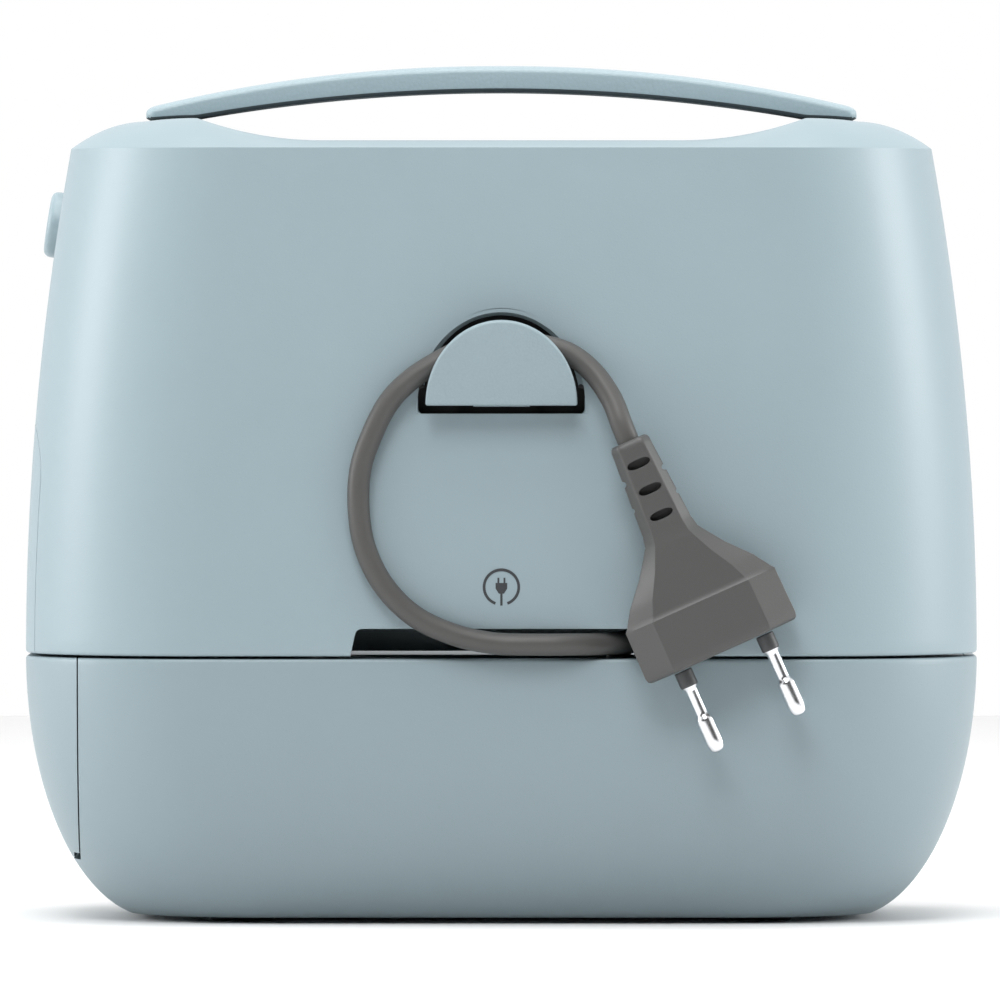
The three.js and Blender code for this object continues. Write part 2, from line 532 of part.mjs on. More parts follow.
// A belt round two pulleys in a plane of constant X.
function belt(x, y0, z0, r0, y1, z1, r1, width) {
  const ring = (grow) => {
    const points = [], dist = Math.hypot(y1 - y0, z1 - z0), dir = Math.atan2(z1 - z0, y1 - y0);
    const open = Math.acos((r0 - r1) / dist);
    for (let i = 0; i <= 12; i++) {
      const t = dir + open + ((2 * Math.PI - 2 * open) * i) / 12;
      points.push([y0 + (r0 + grow) * Math.cos(t), z0 + (r0 + grow) * Math.sin(t)]);
    }
    for (let i = 0; i <= 12; i++) {
      const t = dir - open + ((2 * open) * i) / 12;
      points.push([y1 + (r1 + grow) * Math.cos(t), z1 + (r1 + grow) * Math.sin(t)]);
    }
    return points;
  };
  return cut(slabYZ(ring(1.7), x - width / 2, x + width / 2), slabYZ(ring(0.25), x - width, x + width));
}

add('timing_belt', belt(TIMING_X, AXIS_Y, UPPER_Z, TIMING_R, AXIS_Y, LOWER_Z, TIMING_R, 4), GRAPHITE, 0.8);
add('drive_belt', belt(PULLEY_X, AXIS_Y, UPPER_Z, WHEEL_R, MOTOR_Y, MOTOR_Z, MOTOR_PULLEY_R, 4), GRAPHITE, 0.8);

// Frame in the arm: a beam with two shaft lugs and the needle bar's guide.
{
  const beamZ = UPPER_Z + 9, head = NEEDLE_X + 4.6;
  const beam = box(-50, 36, AXIS_Y + 8, AXIS_Y + 16, UPPER_Z - 4, UPPER_Z + 6);
  const lug = (x) => box(x - 3, x + 3, AXIS_Y - 8, AXIS_Y + 9, UPPER_Z - 8, UPPER_Z + 8);
  const guideArm = box(head + FIT, -46, AXIS_Y + 20, AXIS_Y + 26, BAY_TOP + WALL + 0.5, beamZ);
  const shaftHole = rod(V(-60, AXIS_Y, UPPER_Z), V(60, AXIS_Y, UPPER_Z), SHAFT_R + BEARING_GAP, 24);
  add('arm_frame', cut(join(beam, lug(-44), lug(30), box(-50, -46, AXIS_Y + 8, AXIS_Y + 26, UPPER_Z - 4, beamZ),
    guideArm), shaftHole), STEEL, 0.5, 1);
}

// ---- needle bar, presser bar and take-up lever ------------------------------------------------------
const guideZ0 = 106, needleBarTop = 166, GUIDE_T = 4, NEEDLE_TIP = 68.5;
{
  const guide = (z) => box(NEEDLE_X - 6, NEEDLE_X + 4.6, AXIS_Y - 6, AXIS_Y + 19, z, z + GUIDE_T);
  const link = box(NEEDLE_X - 6, NEEDLE_X + 4.6, AXIS_Y + 19, AXIS_Y + 22, guideZ0, 150);
  const bars = [[AXIS_Y, 3], [AXIS_Y + 14, 2.6]].map(([y, r]) =>
    rod(V(NEEDLE_X, y, 90), V(NEEDLE_X, y, 170), r + BEARING_GAP, 20));
  add('bar_guide', cut(join(guide(guideZ0), guide(146), link), ...bars), STEEL, 0.5, 1);

  const bar = rod(V(NEEDLE_X, AXIS_Y, 100), V(NEEDLE_X, AXIS_Y, needleBarTop), 3, 18);
  const clamp = rod(V(NEEDLE_X, AXIS_Y, 94), V(NEEDLE_X, AXIS_Y, 101), 4.2, 18);
  const screw = rod(V(NEEDLE_X, AXIS_Y, 97), V(NEEDLE_X + 9, AXIS_Y, 97), 1.8, 12);
  const yoke = box(NEEDLE_X - 5, NEEDLE_X + 4, AXIS_Y - 5, AXIS_Y + 5, UPPER_Z + CRANK_R - 21.6, UPPER_Z + CRANK_R - 15);
  const socket = rod(V(NEEDLE_X, AXIS_Y, 90), V(NEEDLE_X, AXIS_Y, 100), 1.2, 12);
  add('needle_bar', cut(join(bar, clamp, screw, yoke), socket), STEEL, 0.2, 1);
  add('needle', turned([[0, 0], [0.15, 1], [0.6, 5], [0.6, 22], [0.85, 23], [0.85, 31], [0, 31]],
    V(NEEDLE_X, AXIS_Y, NEEDLE_TIP), V(NEEDLE_X, AXIS_Y, NEEDLE_TIP + 1), 12), STEEL, 0.15, 1);

  const py = AXIS_Y + 14;
  const presser = join(
    rod(V(NEEDLE_X, py, 68), V(NEEDLE_X, py, 152), 2.6, 18),
    box(NEEDLE_X + 1, NEEDLE_X + 4.4, py - 2.5, py + 2.5, 122, 128),
  );
  add('presser_bar', presser, STEEL, 0.2, 1);
  const spring = turned([[3, 0], [4.6, 0], [4.6, 14], [3, 14], [3, 0]], V(NEEDLE_X, py, 129.5),
    V(NEEDLE_X, py, 130.5), 20);
  add('presser_spring', spring, STEEL, 0.3, 1);
  const sole = (y0, y1, z0, z1) => box(NEEDLE_X - 7, NEEDLE_X + 7, y0, y1, z0, z1);
  const foot = cut(
    join(sole(AXIS_Y - 12, AXIS_Y + 11, 58.3, 60.3), box(NEEDLE_X - 3, NEEDLE_X + 3, py - 7, py + 4, 59.8, 67.6),
      sole(AXIS_Y - 15, AXIS_Y - 11.8, 59.3, 61.5)),
    box(NEEDLE_X - 2.2, NEEDLE_X + 2.2, AXIS_Y - 20, AXIS_Y + 3.5, 50, 70),
  );
  add('presser_foot', join(foot, box(NEEDLE_X - 7, NEEDLE_X + 7, AXIS_Y + 3.6, AXIS_Y + 8, 59, 62)), STEEL, 0.15, 1);

  const lx = NEEDLE_X + 9, ly = AXIS_Y + 27;
  const lever = join(
    rod(V(lx - 2, ly, 112), V(lx + 2, ly, 112), 4, 18),
    box(lx - 2, lx + 2, ly - 1.8, ly + 1.8, 90, 112),
  );
  add('presser_lifter', cut(lever, rod(V(lx - 9, ly, 112), V(lx + 9, ly, 112), 1.5, 14)), GRAPHITE, 0.5);

  const arm = join(
    box(takeupX - 1.2, takeupX + 1.2, AXIS_Y - 44, AXIS_Y - 8, 136, 140),
    rod(V(takeupX - 1.2, AXIS_Y - 11, 138), V(takeupX + 1.2, AXIS_Y - 11, 138), 4.5, 18),
    rod(V(takeupX - 1.2, AXIS_Y - 43, 138), V(takeupX + 1.2, AXIS_Y - 43, 138), 3, 16),
  );
  add('take_up_lever', cut(arm, rod(V(takeupX - 5, AXIS_Y - 43, 138), V(takeupX + 5, AXIS_Y - 43, 138), 1.1, 12),
    rod(V(takeupX - 5, AXIS_Y - 11, 138), V(takeupX + 5, AXIS_Y - 11, 138), 1.8, 14)), STEEL, 0.2, 1);
}

// ---- lower drive, hook and bobbin -------------------------------------------------------------------
{
  const end = -50;
  add('lower_shaft', join(
    rod(V(end, AXIS_Y, LOWER_Z), V(TIMING_X + 4, AXIS_Y, LOWER_Z), SHAFT_R, 20),
    rod(V(end, AXIS_Y, LOWER_Z), V(end + 6, AXIS_Y, LOWER_Z), 7, 20), timingPulley(LOWER_Z),
  ), STEEL, 0.25, 1);
  const lug = (x) => box(x - 3, x + 3, AXIS_Y - 8, AXIS_Y + 8, 16, LOWER_Z + 6);
  const plate = box(NEEDLE_X - 2, 36, AXIS_Y - 10, AXIS_Y + 6, 12, 16.5);
  const post = join(
    box(NEEDLE_X - 4, NEEDLE_X + 7, BOBBIN_Y - 5, AXIS_Y + 2, 12, 16.5),
    rod(V(NEEDLE_X, BOBBIN_Y, 14), V(NEEDLE_X, BOBBIN_Y, 22), 6, 20),
  );
  add('base_frame', cut(join(plate, post, lug(-30), lug(24)),
    rod(V(-60, AXIS_Y, LOWER_Z), V(60, AXIS_Y, LOWER_Z), SHAFT_R + BEARING_GAP, 24),
    rod(V(NEEDLE_X, BOBBIN_Y, 5), V(NEEDLE_X, BOBBIN_Y, 60), 2.5 + BEARING_GAP, 20)), STEEL, 0.5, 1);

  const up = (z) => V(NEEDLE_X, BOBBIN_Y, z);
  add('rotary_hook', turned([
    [0, 18], [2.5, 18], [2.5, 24], [9, 24], [9, 28], [4, 28], [4, 34], [HOOK_R, 36], [HOOK_R, 50],
    [HOOK_R - 1.4, 50], [HOOK_R - 1.4, 38], [0, 38],
  ], up(0), up(1), 22), STEEL, 0.2, 1);
  add('bobbin', turned([
    [2.9, 0], [BOBBIN_R, 0], [BOBBIN_R, 1], [4.5, 1], [4.5, 9], [BOBBIN_R, 9], [BOBBIN_R, 10], [2.9, 10], [2.9, 0],
  ], up(38.8), up(39.8), 18), 0xdfe4e6, 0.3);
}

// ---- motor and electrics ----------------------------------------------------------------------------
{
  const at = (x) => V(x, MOTOR_Y, MOTOR_Z);
  add('motor', join(rod(at(MOTOR_X0), at(MOTOR_X1), MOTOR_R, 24), rod(at(MOTOR_X1 - 1), at(PULLEY_X - 3.2), 4, 16)),
    GRAPHITE, 0.5, 0.6);
  add('motor_pulley', turned([
    [0, -2.8], [MOTOR_PULLEY_R + 1, -2.8], [MOTOR_PULLEY_R, -2], [MOTOR_PULLEY_R, 2],
    [MOTOR_PULLEY_R + 1, 2.8], [0, 2.8],
  ], at(PULLEY_X), at(PULLEY_X + 1), 20), GRAPHITE, 0.5);
  add('control_board', box(-66, -4, 34, 36, 70, 100), GREEN, 0.6);
  add('lamp_lens', box(-43.7, -30.3, -45.7, -30.3, BAY_TOP - 0.6, BAY_TOP + WALL - 0.6), 0xf4f2e6, 0.2);
}

// ---- controls on the front --------------------------------------------------------------------------
function dial(name, x, z, r, stem) {
  const face = frontAt(z - r) - FIT, out = REACH_Y + face, inner = face + stem;
  const lever = turned([
    [0, 0], [2.9, 0], [2.9, stem], [r, stem], [r, stem + out - 1.2], [r - 1.2, stem + out], [0, stem + out],
  ], V(x, inner, z), V(x, inner - 1, z), 24);
  const bar = box(x - 1.2, x + 1.2, -REACH_Y, -REACH_Y + 1.4, z, z + r - 1);
  return add(name, cut(lever, bar), DARK, 0.45);
}
dial('stitch_dial', dialXs.stitch, dialZs.stitch, 15, 8);
dial('length_dial', dialXs.length, dialZs.length, 9, 8);
dial('tension_dial', dialXs.tension, dialZs.tension, 9, 8);
function button(name, x, z, y) {
  return add(name, turned([[0, 0], [6.4, 0], [6.4, 1.5], [5, 1.5], [5, 8.4], [4.2, 9.2], [0, 9.2]],
    V(x, y, z), V(x, y - 1, z), 24), LIGHT, 0.4);
}
button('start_button', buttonX, buttonZ, frontAt(buttonZ) + WALL + 3);
button('reverse_button', reverseX, reverseZ, frontAt(reverseZ) + WALL + 4.6);

// Spool pin, pushed down into the deck.
add('spool_pin', turned([[0, 0], [SPOOL_R - 0.6, 0], [SPOOL_R - 0.6, 24], [SPOOL_R, 25], [SPOOL_R, 30], [0, 30]],
  V(spoolX, spoolY, DECK_Z - 30), V(spoolX, spoolY, DECK_Z - 29), 20), DARK, 0.5);

// ---- cord, cord well and plug -----------------------------------------------------------------------
const coilZ0 = WELL_Z + 1, coilZ1 = coilZ0 + COIL_TURNS_W;
{
  const up = (z) => V(WELL_X, WELL_Y, z);
  const cup = turned([
    [0, WELL_Z - 1.5], [wellR + 1.2, WELL_Z - 1.5], [wellR + 1.2, deckZ - FIT], [wellR, deckZ - FIT], [wellR, WELL_Z],
    [COIL_MEAN_R - COIL_TURNS_W / 2 - 3, WELL_Z], [COIL_MEAN_R - COIL_TURNS_W / 2 - 3, coilZ1], [0, coilZ1],
  ], up(0), up(1), 32);
  add('cord_well', cup, DARK, 0.7);
  const [r0, r1] = [COIL_MEAN_R - COIL_TURNS_W / 2, COIL_MEAN_R + COIL_TURNS_W / 2];
  add('cord_coil', turned([[r0, coilZ0], [r1, coilZ0], [r1, coilZ1], [r0, coilZ1], [r0, coilZ0]], up(0), up(1), 32),
    CORD, 0.6);
}

const onWall = (z) => backAt(z) + CORD_D / 2 + 0.4;
const cordPoints = [
  V(-24, 20, 51.4), V(-24.3, 26, 53), V(-25, 32, 56.6), V(-26.5, 37.5, 60), V(-28, 43, 60.6),
  V(-28, 49, 60.6), V(-25.5, 55, 60.5), V(-20.5, 60, 60.4), V(-14, 63, 60.4), V(-7, onWall(60), 60.4), V(1.9, onWall(60), 60.7), V(10.4, onWall(62), 62.6), V(18.6, onWall(66), 66.5),
  V(25.1, onWall(73), 73), V(29.2, onWall(81), 81.4), V(30.5, onWall(90), 90.3), V(30, onWall(98), 98.1),
  V(27.6, onWall(105), 105.2), V(24, onWall(112), 112.1), V(19.7, onWall(116), 116.6), V(14, 62.5, 120.4),
  V(7, 62.3, 123.6), V(0, 62.2, 124.6), V(-8, 62.3, 124.3), V(-14.5, 62.5, 122.4), V(-19.4, 63.6, 118.6),
  V(-23.5, 66, 112.7), V(-25.6, 68.1, 107.4), V(-26.8, 68.3, 104.4),
];
{
  const curve = new THREE.CatmullRomCurve3(cordPoints, false, 'centripetal');
  const section = new THREE.Shape(new THREE.Path().absarc(0, 0, CORD_D / 2, 0, Math.PI * 2).getPoints(8).slice(0, 8));
  add('cord_run', new THREE.ExtrudeGeometry(section, { steps: 44, bevelEnabled: false, extrudePath: curve }), CORD, 0.6);
}

const plugDir = V(-0.41, 0, -0.912).normalize();
const plugAcross = V(-plugDir.z, 0, plugDir.x);
const sleeveEnd = V(-26.8, 68.4, 104.4).addScaledVector(plugDir, 0.6);
const plugAt = (v, u = 0, y = 0) => sleeveEnd.clone().addScaledVector(plugDir, v).addScaledVector(plugAcross, u)
  .add(V(0, y, 0));
const SLEEVE_LEN = 22.9, FLARE_LEN = 14.2, BODY_LEN = 12;
{
  // Six-sided section with rounded edges: full thickness in the middle, thin at the two edges.
  const section = (v, w, t, edge) => {
    const pts = [[w, -edge], [w, edge], [w * 0.66, t * 0.92], [w * 0.4, t], [-w * 0.4, t], [-w * 0.66, t * 0.92],
      [-w, edge], [-w, -edge], [-w * 0.66, -t * 0.92], [-w * 0.4, -t], [w * 0.4, -t], [w * 0.66, -t * 0.92]];
    return pts.map(([u, y]) => plugAt(v, -u, y));
  };
  const W = PLUG_W / 2, T = PLUG_T / 2, L = SLEEVE_LEN, M = L + FLARE_LEN, E = M + BODY_LEN;
  const rings = [section(0, 4.2, 4, 1.8), section(1, 4.5, 4.4, 2), section(L - 3, 5.6, 5, 2.4),
    section(L, 6.4, 5.4, 2.6), section(L + 5, 9.4, 5.9, 2.8), section(L + 10, 14.2, 6.5, 2.9),
    section(M, W - 0.2, T, 3), section(E - 1.2, W, T, 3), section(E, W - 1.2, T - 1, 2.2)];
  add('plug_body', loft(rings), CORD, 0.5);
  [-1, 1].forEach((s, i) => add(`plug_pin_${i + 1}`, turned([
    [0, 0], [1.9, 0], [1.9, 9.5], [1.4, 10], [1.4, 10.6], [2, 11], [2, PIN_LEN - 1.4], [1.2, PIN_LEN - 0.3],
    [0, PIN_LEN],
  ], plugAt(E + FIT, (s * PIN_GAP) / 2), plugAt(E + 2, (s * PIN_GAP) / 2), 16), STEEL, 0.15, 1));
}

export default parts;
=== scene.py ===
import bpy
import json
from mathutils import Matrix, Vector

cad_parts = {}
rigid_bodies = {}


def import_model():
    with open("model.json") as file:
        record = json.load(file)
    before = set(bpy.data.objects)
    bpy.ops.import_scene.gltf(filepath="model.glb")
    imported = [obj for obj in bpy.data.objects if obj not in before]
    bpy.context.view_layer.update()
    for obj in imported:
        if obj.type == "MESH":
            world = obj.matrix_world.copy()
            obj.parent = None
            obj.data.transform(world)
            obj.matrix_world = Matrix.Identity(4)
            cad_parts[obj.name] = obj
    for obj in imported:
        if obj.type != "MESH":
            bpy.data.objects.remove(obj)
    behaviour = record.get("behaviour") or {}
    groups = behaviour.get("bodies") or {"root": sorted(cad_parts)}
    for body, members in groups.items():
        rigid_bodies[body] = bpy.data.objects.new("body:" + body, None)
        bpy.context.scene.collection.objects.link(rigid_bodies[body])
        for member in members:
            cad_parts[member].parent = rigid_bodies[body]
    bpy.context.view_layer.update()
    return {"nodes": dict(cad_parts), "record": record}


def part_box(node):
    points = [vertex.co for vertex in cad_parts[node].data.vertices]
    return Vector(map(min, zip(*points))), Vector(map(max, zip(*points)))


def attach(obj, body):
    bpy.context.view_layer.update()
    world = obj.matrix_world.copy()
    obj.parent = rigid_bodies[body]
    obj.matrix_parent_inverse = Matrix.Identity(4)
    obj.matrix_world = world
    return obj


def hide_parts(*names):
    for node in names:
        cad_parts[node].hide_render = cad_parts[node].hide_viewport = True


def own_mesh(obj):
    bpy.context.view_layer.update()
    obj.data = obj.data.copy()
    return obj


bl_info = {
    "name": "Portable Sewing Machine",
    "version": (1, 0, 0),
    "blender": (4, 5, 0),
    "location": "View3D > Sidebar > Sewing Machine",
    "description": "Builds a compact portable sewing machine around its packed frame",
    "category": "Add Mesh",
}

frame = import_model()

import json
import math

import bmesh
import bpy
from bpy.props import FloatProperty, FloatVectorProperty, IntProperty, PointerProperty
from mathutils import Matrix, Vector

MM = 0.001
NODES = frame["nodes"]
SLOT_OF = {s["node"]: s["material_slot"] for s in frame["record"]["subparts"]}


# ---------------------------------------------------------------------------------------------
# Driving sizes in millimetres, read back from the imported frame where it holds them
# ---------------------------------------------------------------------------------------------
def low(node, axis):
    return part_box(node)[0][axis] / MM


def high(node, axis):
    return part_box(node)[1][axis] / MM


WIDTH = -2 * low("base_shell", 0)
DEPTH = 2 * high("base_shell", 1)
SEAM_LOW = high("base_shell", 2)
SEAM_HIGH = low("back_housing", 2)
SEAM_Z = (SEAM_LOW + SEAM_HIGH) / 2
HORN_Z = high("back_housing", 2)
WALL_TOP_Z = HORN_Z - 6.5
DECK_Z = HORN_Z - 4.8
CORNER_R = 38
WALL = 2.5
FIT = 0.3
SIDE_LEAN, BACK_LEAN = 9.7, 4
SIDE_TUCK, BACK_TUCK = 28, 24
FOOT_H = low("base_shell", 2)
HORN_FOOT, HORN_IN, HORN_OUT = 39, 65.4, 76.9
CROWN = 16
SPLIT_Y = (low("back_housing", 1) + high("front_housing", 1)) / 2
BAY_RIGHT = high("bay_panel", 0) + FIT
BAY_TOP = high("bay_panel", 2) + FIT
HEAD_RIGHT, HEAD_BOTTOM = -48, 102
AXIS_Y = -20
NEEDLE_X = (low("needle", 0) + high("needle", 0)) / 2
HATCH_HALF = high("side_hatch", 1)
HATCH_TOP = high("side_hatch", 2)
HATCH_R = 13
DRAWER_X = 91
DRAWER_Z = low("accessory_drawer", 2)
FLAP_W = 2 * high("cord_hook_flap", 0)
FLAP_H = 18.3
FLAP_Z = 111.7
FLAP_OUT = 64.1
FLAP_T = 2.2
FLAP_TILT = 10
NOTCH_W, NOTCH_TOP_W, NOTCH_H = 66, 62, 5.9
KNOB_Z, KNOB_R, KNOB_PROUD = 150, 7.2, 3.6
CORD_D = 4.8
FAR = 400


def lean(z):
    return ((z - SEAM_Z) / (WALL_TOP_Z - SEAM_Z)) ** 2


def tuck(z):
    return 1 - math.sqrt(max(0.0, 1 - ((SEAM_Z - z) / SEAM_Z) ** 2))


def side_at(z):
    return WIDTH / 2 - (SIDE_LEAN * lean(z) if z > SEAM_Z else SIDE_TUCK * tuck(z))


def back_at(z):
    return DEPTH / 2 - (BACK_LEAN * lean(z) if z > SEAM_Z else BACK_TUCK * tuck(z))


def corner_at(z):
    return CORNER_R - (0 if z > SEAM_Z else 10 * tuck(z))


def ridge(x):
    a = abs(x)
    if a < HORN_FOOT:
        return DECK_Z
    if a < HORN_IN:
        return DECK_Z + (HORN_Z - DECK_Z) * ((a - HORN_FOOT) / (HORN_IN - HORN_FOOT)) ** 2
    return HORN_Z - 0.6 * min(1, (a - HORN_IN) / (HORN_OUT - HORN_IN)) ** 2


def crown(inset):
    return 1 - (1 - min(1, inset / CROWN)) ** 2


# ---------------------------------------------------------------------------------------------
# Mesh helpers
# ---------------------------------------------------------------------------------------------
def new_object(name, bm):
    bmesh.ops.remove_doubles(bm, verts=bm.verts, dist=1e-7)
    bmesh.ops.dissolve_degenerate(bm, edges=bm.edges, dist=1e-8)
    bmesh.ops.recalc_face_normals(bm, faces=bm.faces)
    mesh = bpy.data.meshes.new(name)
    bm.to_mesh(mesh)
    bm.free()
    obj = bpy.data.objects.new(name, mesh)
    bpy.context.scene.collection.objects.link(obj)
    return obj


def skin(name, rings, cap_start=True, cap_end=True):
    """Joins a stack of equal rings of points, in millimetres, into a closed mesh."""
    bm = bmesh.new()
    rows = [[bm.verts.new(Vector(p) * MM) for p in ring] for ring in rings]
    n = len(rows[0])
    for a, b in zip(rows, rows[1:]):
        for i in range(n):
            bm.faces.new((a[i], a[(i + 1) % n], b[(i + 1) % n], b[i]))
    for row, wanted in ((rows[0], cap_start), (rows[-1], cap_end)):
        if wanted:
            bm.faces.new(row)
    return new_object(name, bm)


def box(name, x0, x1, y0, y1, z0, z1):
    ring = lambda z: [(x0, y0, z), (x1, y0, z), (x1, y1, z), (x0, y1, z)]
    return skin(name, [ring(z0), ring(z1)])


def slab(name, points, a0, a1, axis="Y", edge=0.0, steps=4):
    """A flat outline given thickness from a0 to a1 along an axis, with its rims rounded by edge."""
    n = len(points)
    out = []
    for i in range(n):
        (px, pz), (nx, nz) = points[i - 1], points[(i + 1) % n]
        t = Vector((nx - px, nz - pz)).normalized()
        out.append(Vector((t.y, -t.x)))
    area = sum(points[i - 1][0] * points[i][1] - points[i][0] * points[i - 1][1] for i in range(n))
    sign = 1 if area > 0 else -1
    levels = [(a0, 0), (a1, 0)]
    if edge:
        quarter = [k / steps * math.pi / 2 for k in range(steps + 1)]
        arc = [(edge * (1 - math.cos(t)), edge * (1 - math.sin(t))) for t in quarter]
        levels = [(a0 + h, d) for h, d in arc] + [(a1 - h, d) for h, d in reversed(arc)]
    places = {"X": lambda u, v, a: (a, u, v), "Y": lambda u, v, a: (u, a, v), "Z": lambda u, v, a: (u, v, a)}
    place = places[axis]
    rings = [[place(points[i][0] - sign * out[i].x * d, points[i][1] - sign * out[i].y * d, a)
              for i in range(n)] for a, d in levels]
    return skin(name, rings)


def turned(name, profile, start, direction, sides=64):
    """A solid of revolution: profile holds (radius, distance) pairs along direction from start."""
    axis = Vector(direction).normalized()
    turn = Vector((0, 0, 1)).rotation_difference(axis)
    rings = []
    for r, h in profile:
        ring = [turn @ Vector((r * math.cos(t), r * math.sin(t), h)) + Vector(start)
                for t in (2 * math.pi * i / sides for i in range(sides))]
        rings.append(ring)
    hollow = profile[0] == profile[-1]
    return skin(name, rings, not hollow, not hollow)


def rod(name, a, b, r, sides=64):
    return turned(name, [(r, 0), (r, (Vector(b) - Vector(a)).length)], a, Vector(b) - Vector(a), sides)


def rounded(profile, radius, steps=4):
    """Rounds every inner corner of an open profile of (radius, distance) pairs."""
    out = [profile[0]]
    for before, at, after in zip(profile, profile[1:], profile[2:]):
        p, a, b = Vector(at), Vector(before), Vector(after)
        r = min(radius, (a - p).length * 0.45, (b - p).length * 0.45)
        s, e = p + (a - p).normalized() * r, p + (b - p).normalized() * r
        for k in range(steps + 1):
            t = k / steps
            out.append(tuple(s.lerp(p, t).lerp(p.lerp(e, t), t)))
    return out + [profile[-1]]


def boolean(obj, operation, *others):
    for other in others:
        mod = obj.modifiers.new("cut", "BOOLEAN")
        mod.solver = "MANIFOLD"
        mod.operation = operation
        mod.object = other
    freeze(obj)
    for other in others:
        bpy.data.objects.remove(other)
    return obj


def cut(obj, *others):
    return boolean(obj, "DIFFERENCE", *others)


def join(obj, *others):
    return boolean(obj, "UNION", *others)


def common(obj, *others):
    return boolean(obj, "INTERSECT", *others)


def freeze(obj):
    """Turns what the modifiers make into the object's own plain mesh."""
    deps = bpy.context.evaluated_depsgraph_get()
    mesh = bpy.data.meshes.new_from_object(obj.evaluated_get(deps))
    obj.modifiers.clear()
    obj.data = mesh
    return obj


def copy_of(obj, name):
    new = bpy.data.objects.new(name, obj.data.copy())
    bpy.context.scene.collection.objects.link(new)
    return new


def smooth(obj, degrees=32):
    obj.data.shade_smooth()
    obj.data.set_sharp_from_angle(angle=math.radians(degrees))
    return obj


def finish(obj, body, material, *nodes, slot=None):
    """Gives a piece its material and its body, and hides the carried-over nodes that it replaces."""
    obj.data.materials.clear()
    obj.data.materials.append(material)
    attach(obj, body)
    if nodes:
        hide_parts(*nodes)
    return obj


# ---------------------------------------------------------------------------------------------
# Shader maths
# ---------------------------------------------------------------------------------------------
class Field:
    """One output of a shader node, which adds up and multiplies like a number."""

    def __init__(self, nodes, socket):
        self.nodes, self.socket = nodes, socket

    def math(self, operation, other=None, swap=False):
        node = self.nodes.tree.nodes.new("ShaderNodeMath")
        node.operation = operation
        sockets = [self, other] if not swap else [other, self]
        for i, value in enumerate(v for v in sockets if v is not None):
            self.nodes.put(node.inputs[i], value)
        return Field(self.nodes, node.outputs[0])

    def __add__(self, other):
        return self.math("ADD", other)

    def __radd__(self, other):
        return self.math("ADD", other, True)

    def __sub__(self, other):
        return self.math("SUBTRACT", other)

    def __rsub__(self, other):
        return self.math("SUBTRACT", other, True)

    def __mul__(self, other):
        return self.math("MULTIPLY", other)

    def __rmul__(self, other):
        return self.math("MULTIPLY", other, True)

    def __truediv__(self, other):
        return self.math("DIVIDE", other)

    def __rtruediv__(self, other):
        return self.math("DIVIDE", other, True)

    def __pow__(self, other):
        return self.math("POWER", other)


class Finish:
    """A material built up from fields; any other node is made by the node method."""

    def __init__(self, name, color, roughness, metallic=0.0, coat=0.0, specular=0.5):
        self.material = bpy.data.materials.new(name)
        self.material.use_nodes = True
        self.tree = self.material.node_tree
        self.shader = self.tree.nodes["Principled BSDF"]
        self.color = color
        self.put(self.shader.inputs["Base Color"], (*color, 1))
        self.put(self.shader.inputs["Roughness"], roughness)
        self.put(self.shader.inputs["Metallic"], metallic)
        self.put(self.shader.inputs["Coat Weight"], coat)
        self.put(self.shader.inputs["Specular IOR Level"], specular)
        self.place = self.node("ShaderNodeTexCoord")["Object"]

    def put(self, socket, value):
        if isinstance(value, Field):
            self.tree.links.new(value.socket, socket)
        else:
            socket.default_value = value

    def node(self, kind, settings=None, **inputs):
        made = self.tree.nodes.new(kind)
        for key, value in (settings or {}).items():
            setattr(made, key, value)
        for key, value in inputs.items():
            self.put(made.inputs[key.replace("_", " ")], value)
        return {s.name: Field(self, s) for s in made.outputs}

    def stretched(self, x, y, z):
        return self.node("ShaderNodeMapping", Vector=self.place, Scale=(x, y, z))["Vector"]

    def noise(self, size, detail=2.0, where=None, roughness=0.5):
        """Noise whose blobs are size metres across."""
        return self.node("ShaderNodeTexNoise", Vector=where or self.place, Scale=1 / size, Detail=detail,
                         Roughness=roughness)["Fac"]

    def cells(self, size, feature="F1"):
        return self.node("ShaderNodeTexVoronoi", {"feature": feature}, Vector=self.place,
                         Scale=1 / size)["Distance"]

    def limited(self, value, low0, high0, low1=0.0, high1=1.0):
        return self.node("ShaderNodeMapRange", Value=value, From_Min=low0, From_Max=high0, To_Min=low1,
                         To_Max=high1)["Result"]

    def mix(self, factor, a, b):
        made = self.tree.nodes.new("ShaderNodeMix")
        made.data_type = "RGBA"
        self.put(made.inputs[0], factor)
        self.put(made.inputs[6], (*a, 1) if isinstance(a, tuple) else a)
        self.put(made.inputs[7], (*b, 1) if isinstance(b, tuple) else b)
        return Field(self, made.outputs[2])

    def tinted(self, factor, amount):
        """Lets the base colour run from a little darker to a little lighter with factor."""
        dark = tuple(c * (1 - amount) for c in self.color)
        light = tuple(min(1, c * (1 + amount)) for c in self.color)
        self.put(self.shader.inputs["Base Color"], self.mix(factor, dark, light))
        return self

    def rough(self, value):
        self.put(self.shader.inputs["Roughness"], value)
        return self

    def bump(self, height, depth, strength=1.0):
        normal = self.node("ShaderNodeBump", Height=height, Distance=depth, Strength=strength)["Normal"]
        self.put(self.shader.inputs["Normal"], normal)
        return self


def moulded(name, color, roughness, grain=0.0004, depth=0.00002, coat=0.0):
    """Moulded plastic with a fine even texture from its tool."""
    f = Finish(name, color, roughness, coat=coat)
    cloud, fine = f.noise(0.03, 3), f.noise(grain, 2)
    f.tinted(cloud, 0.025)
    f.rough(roughness + (cloud - 0.5) * 0.08 + (fine - 0.5) * 0.06)
    return f.bump(fine, depth).material


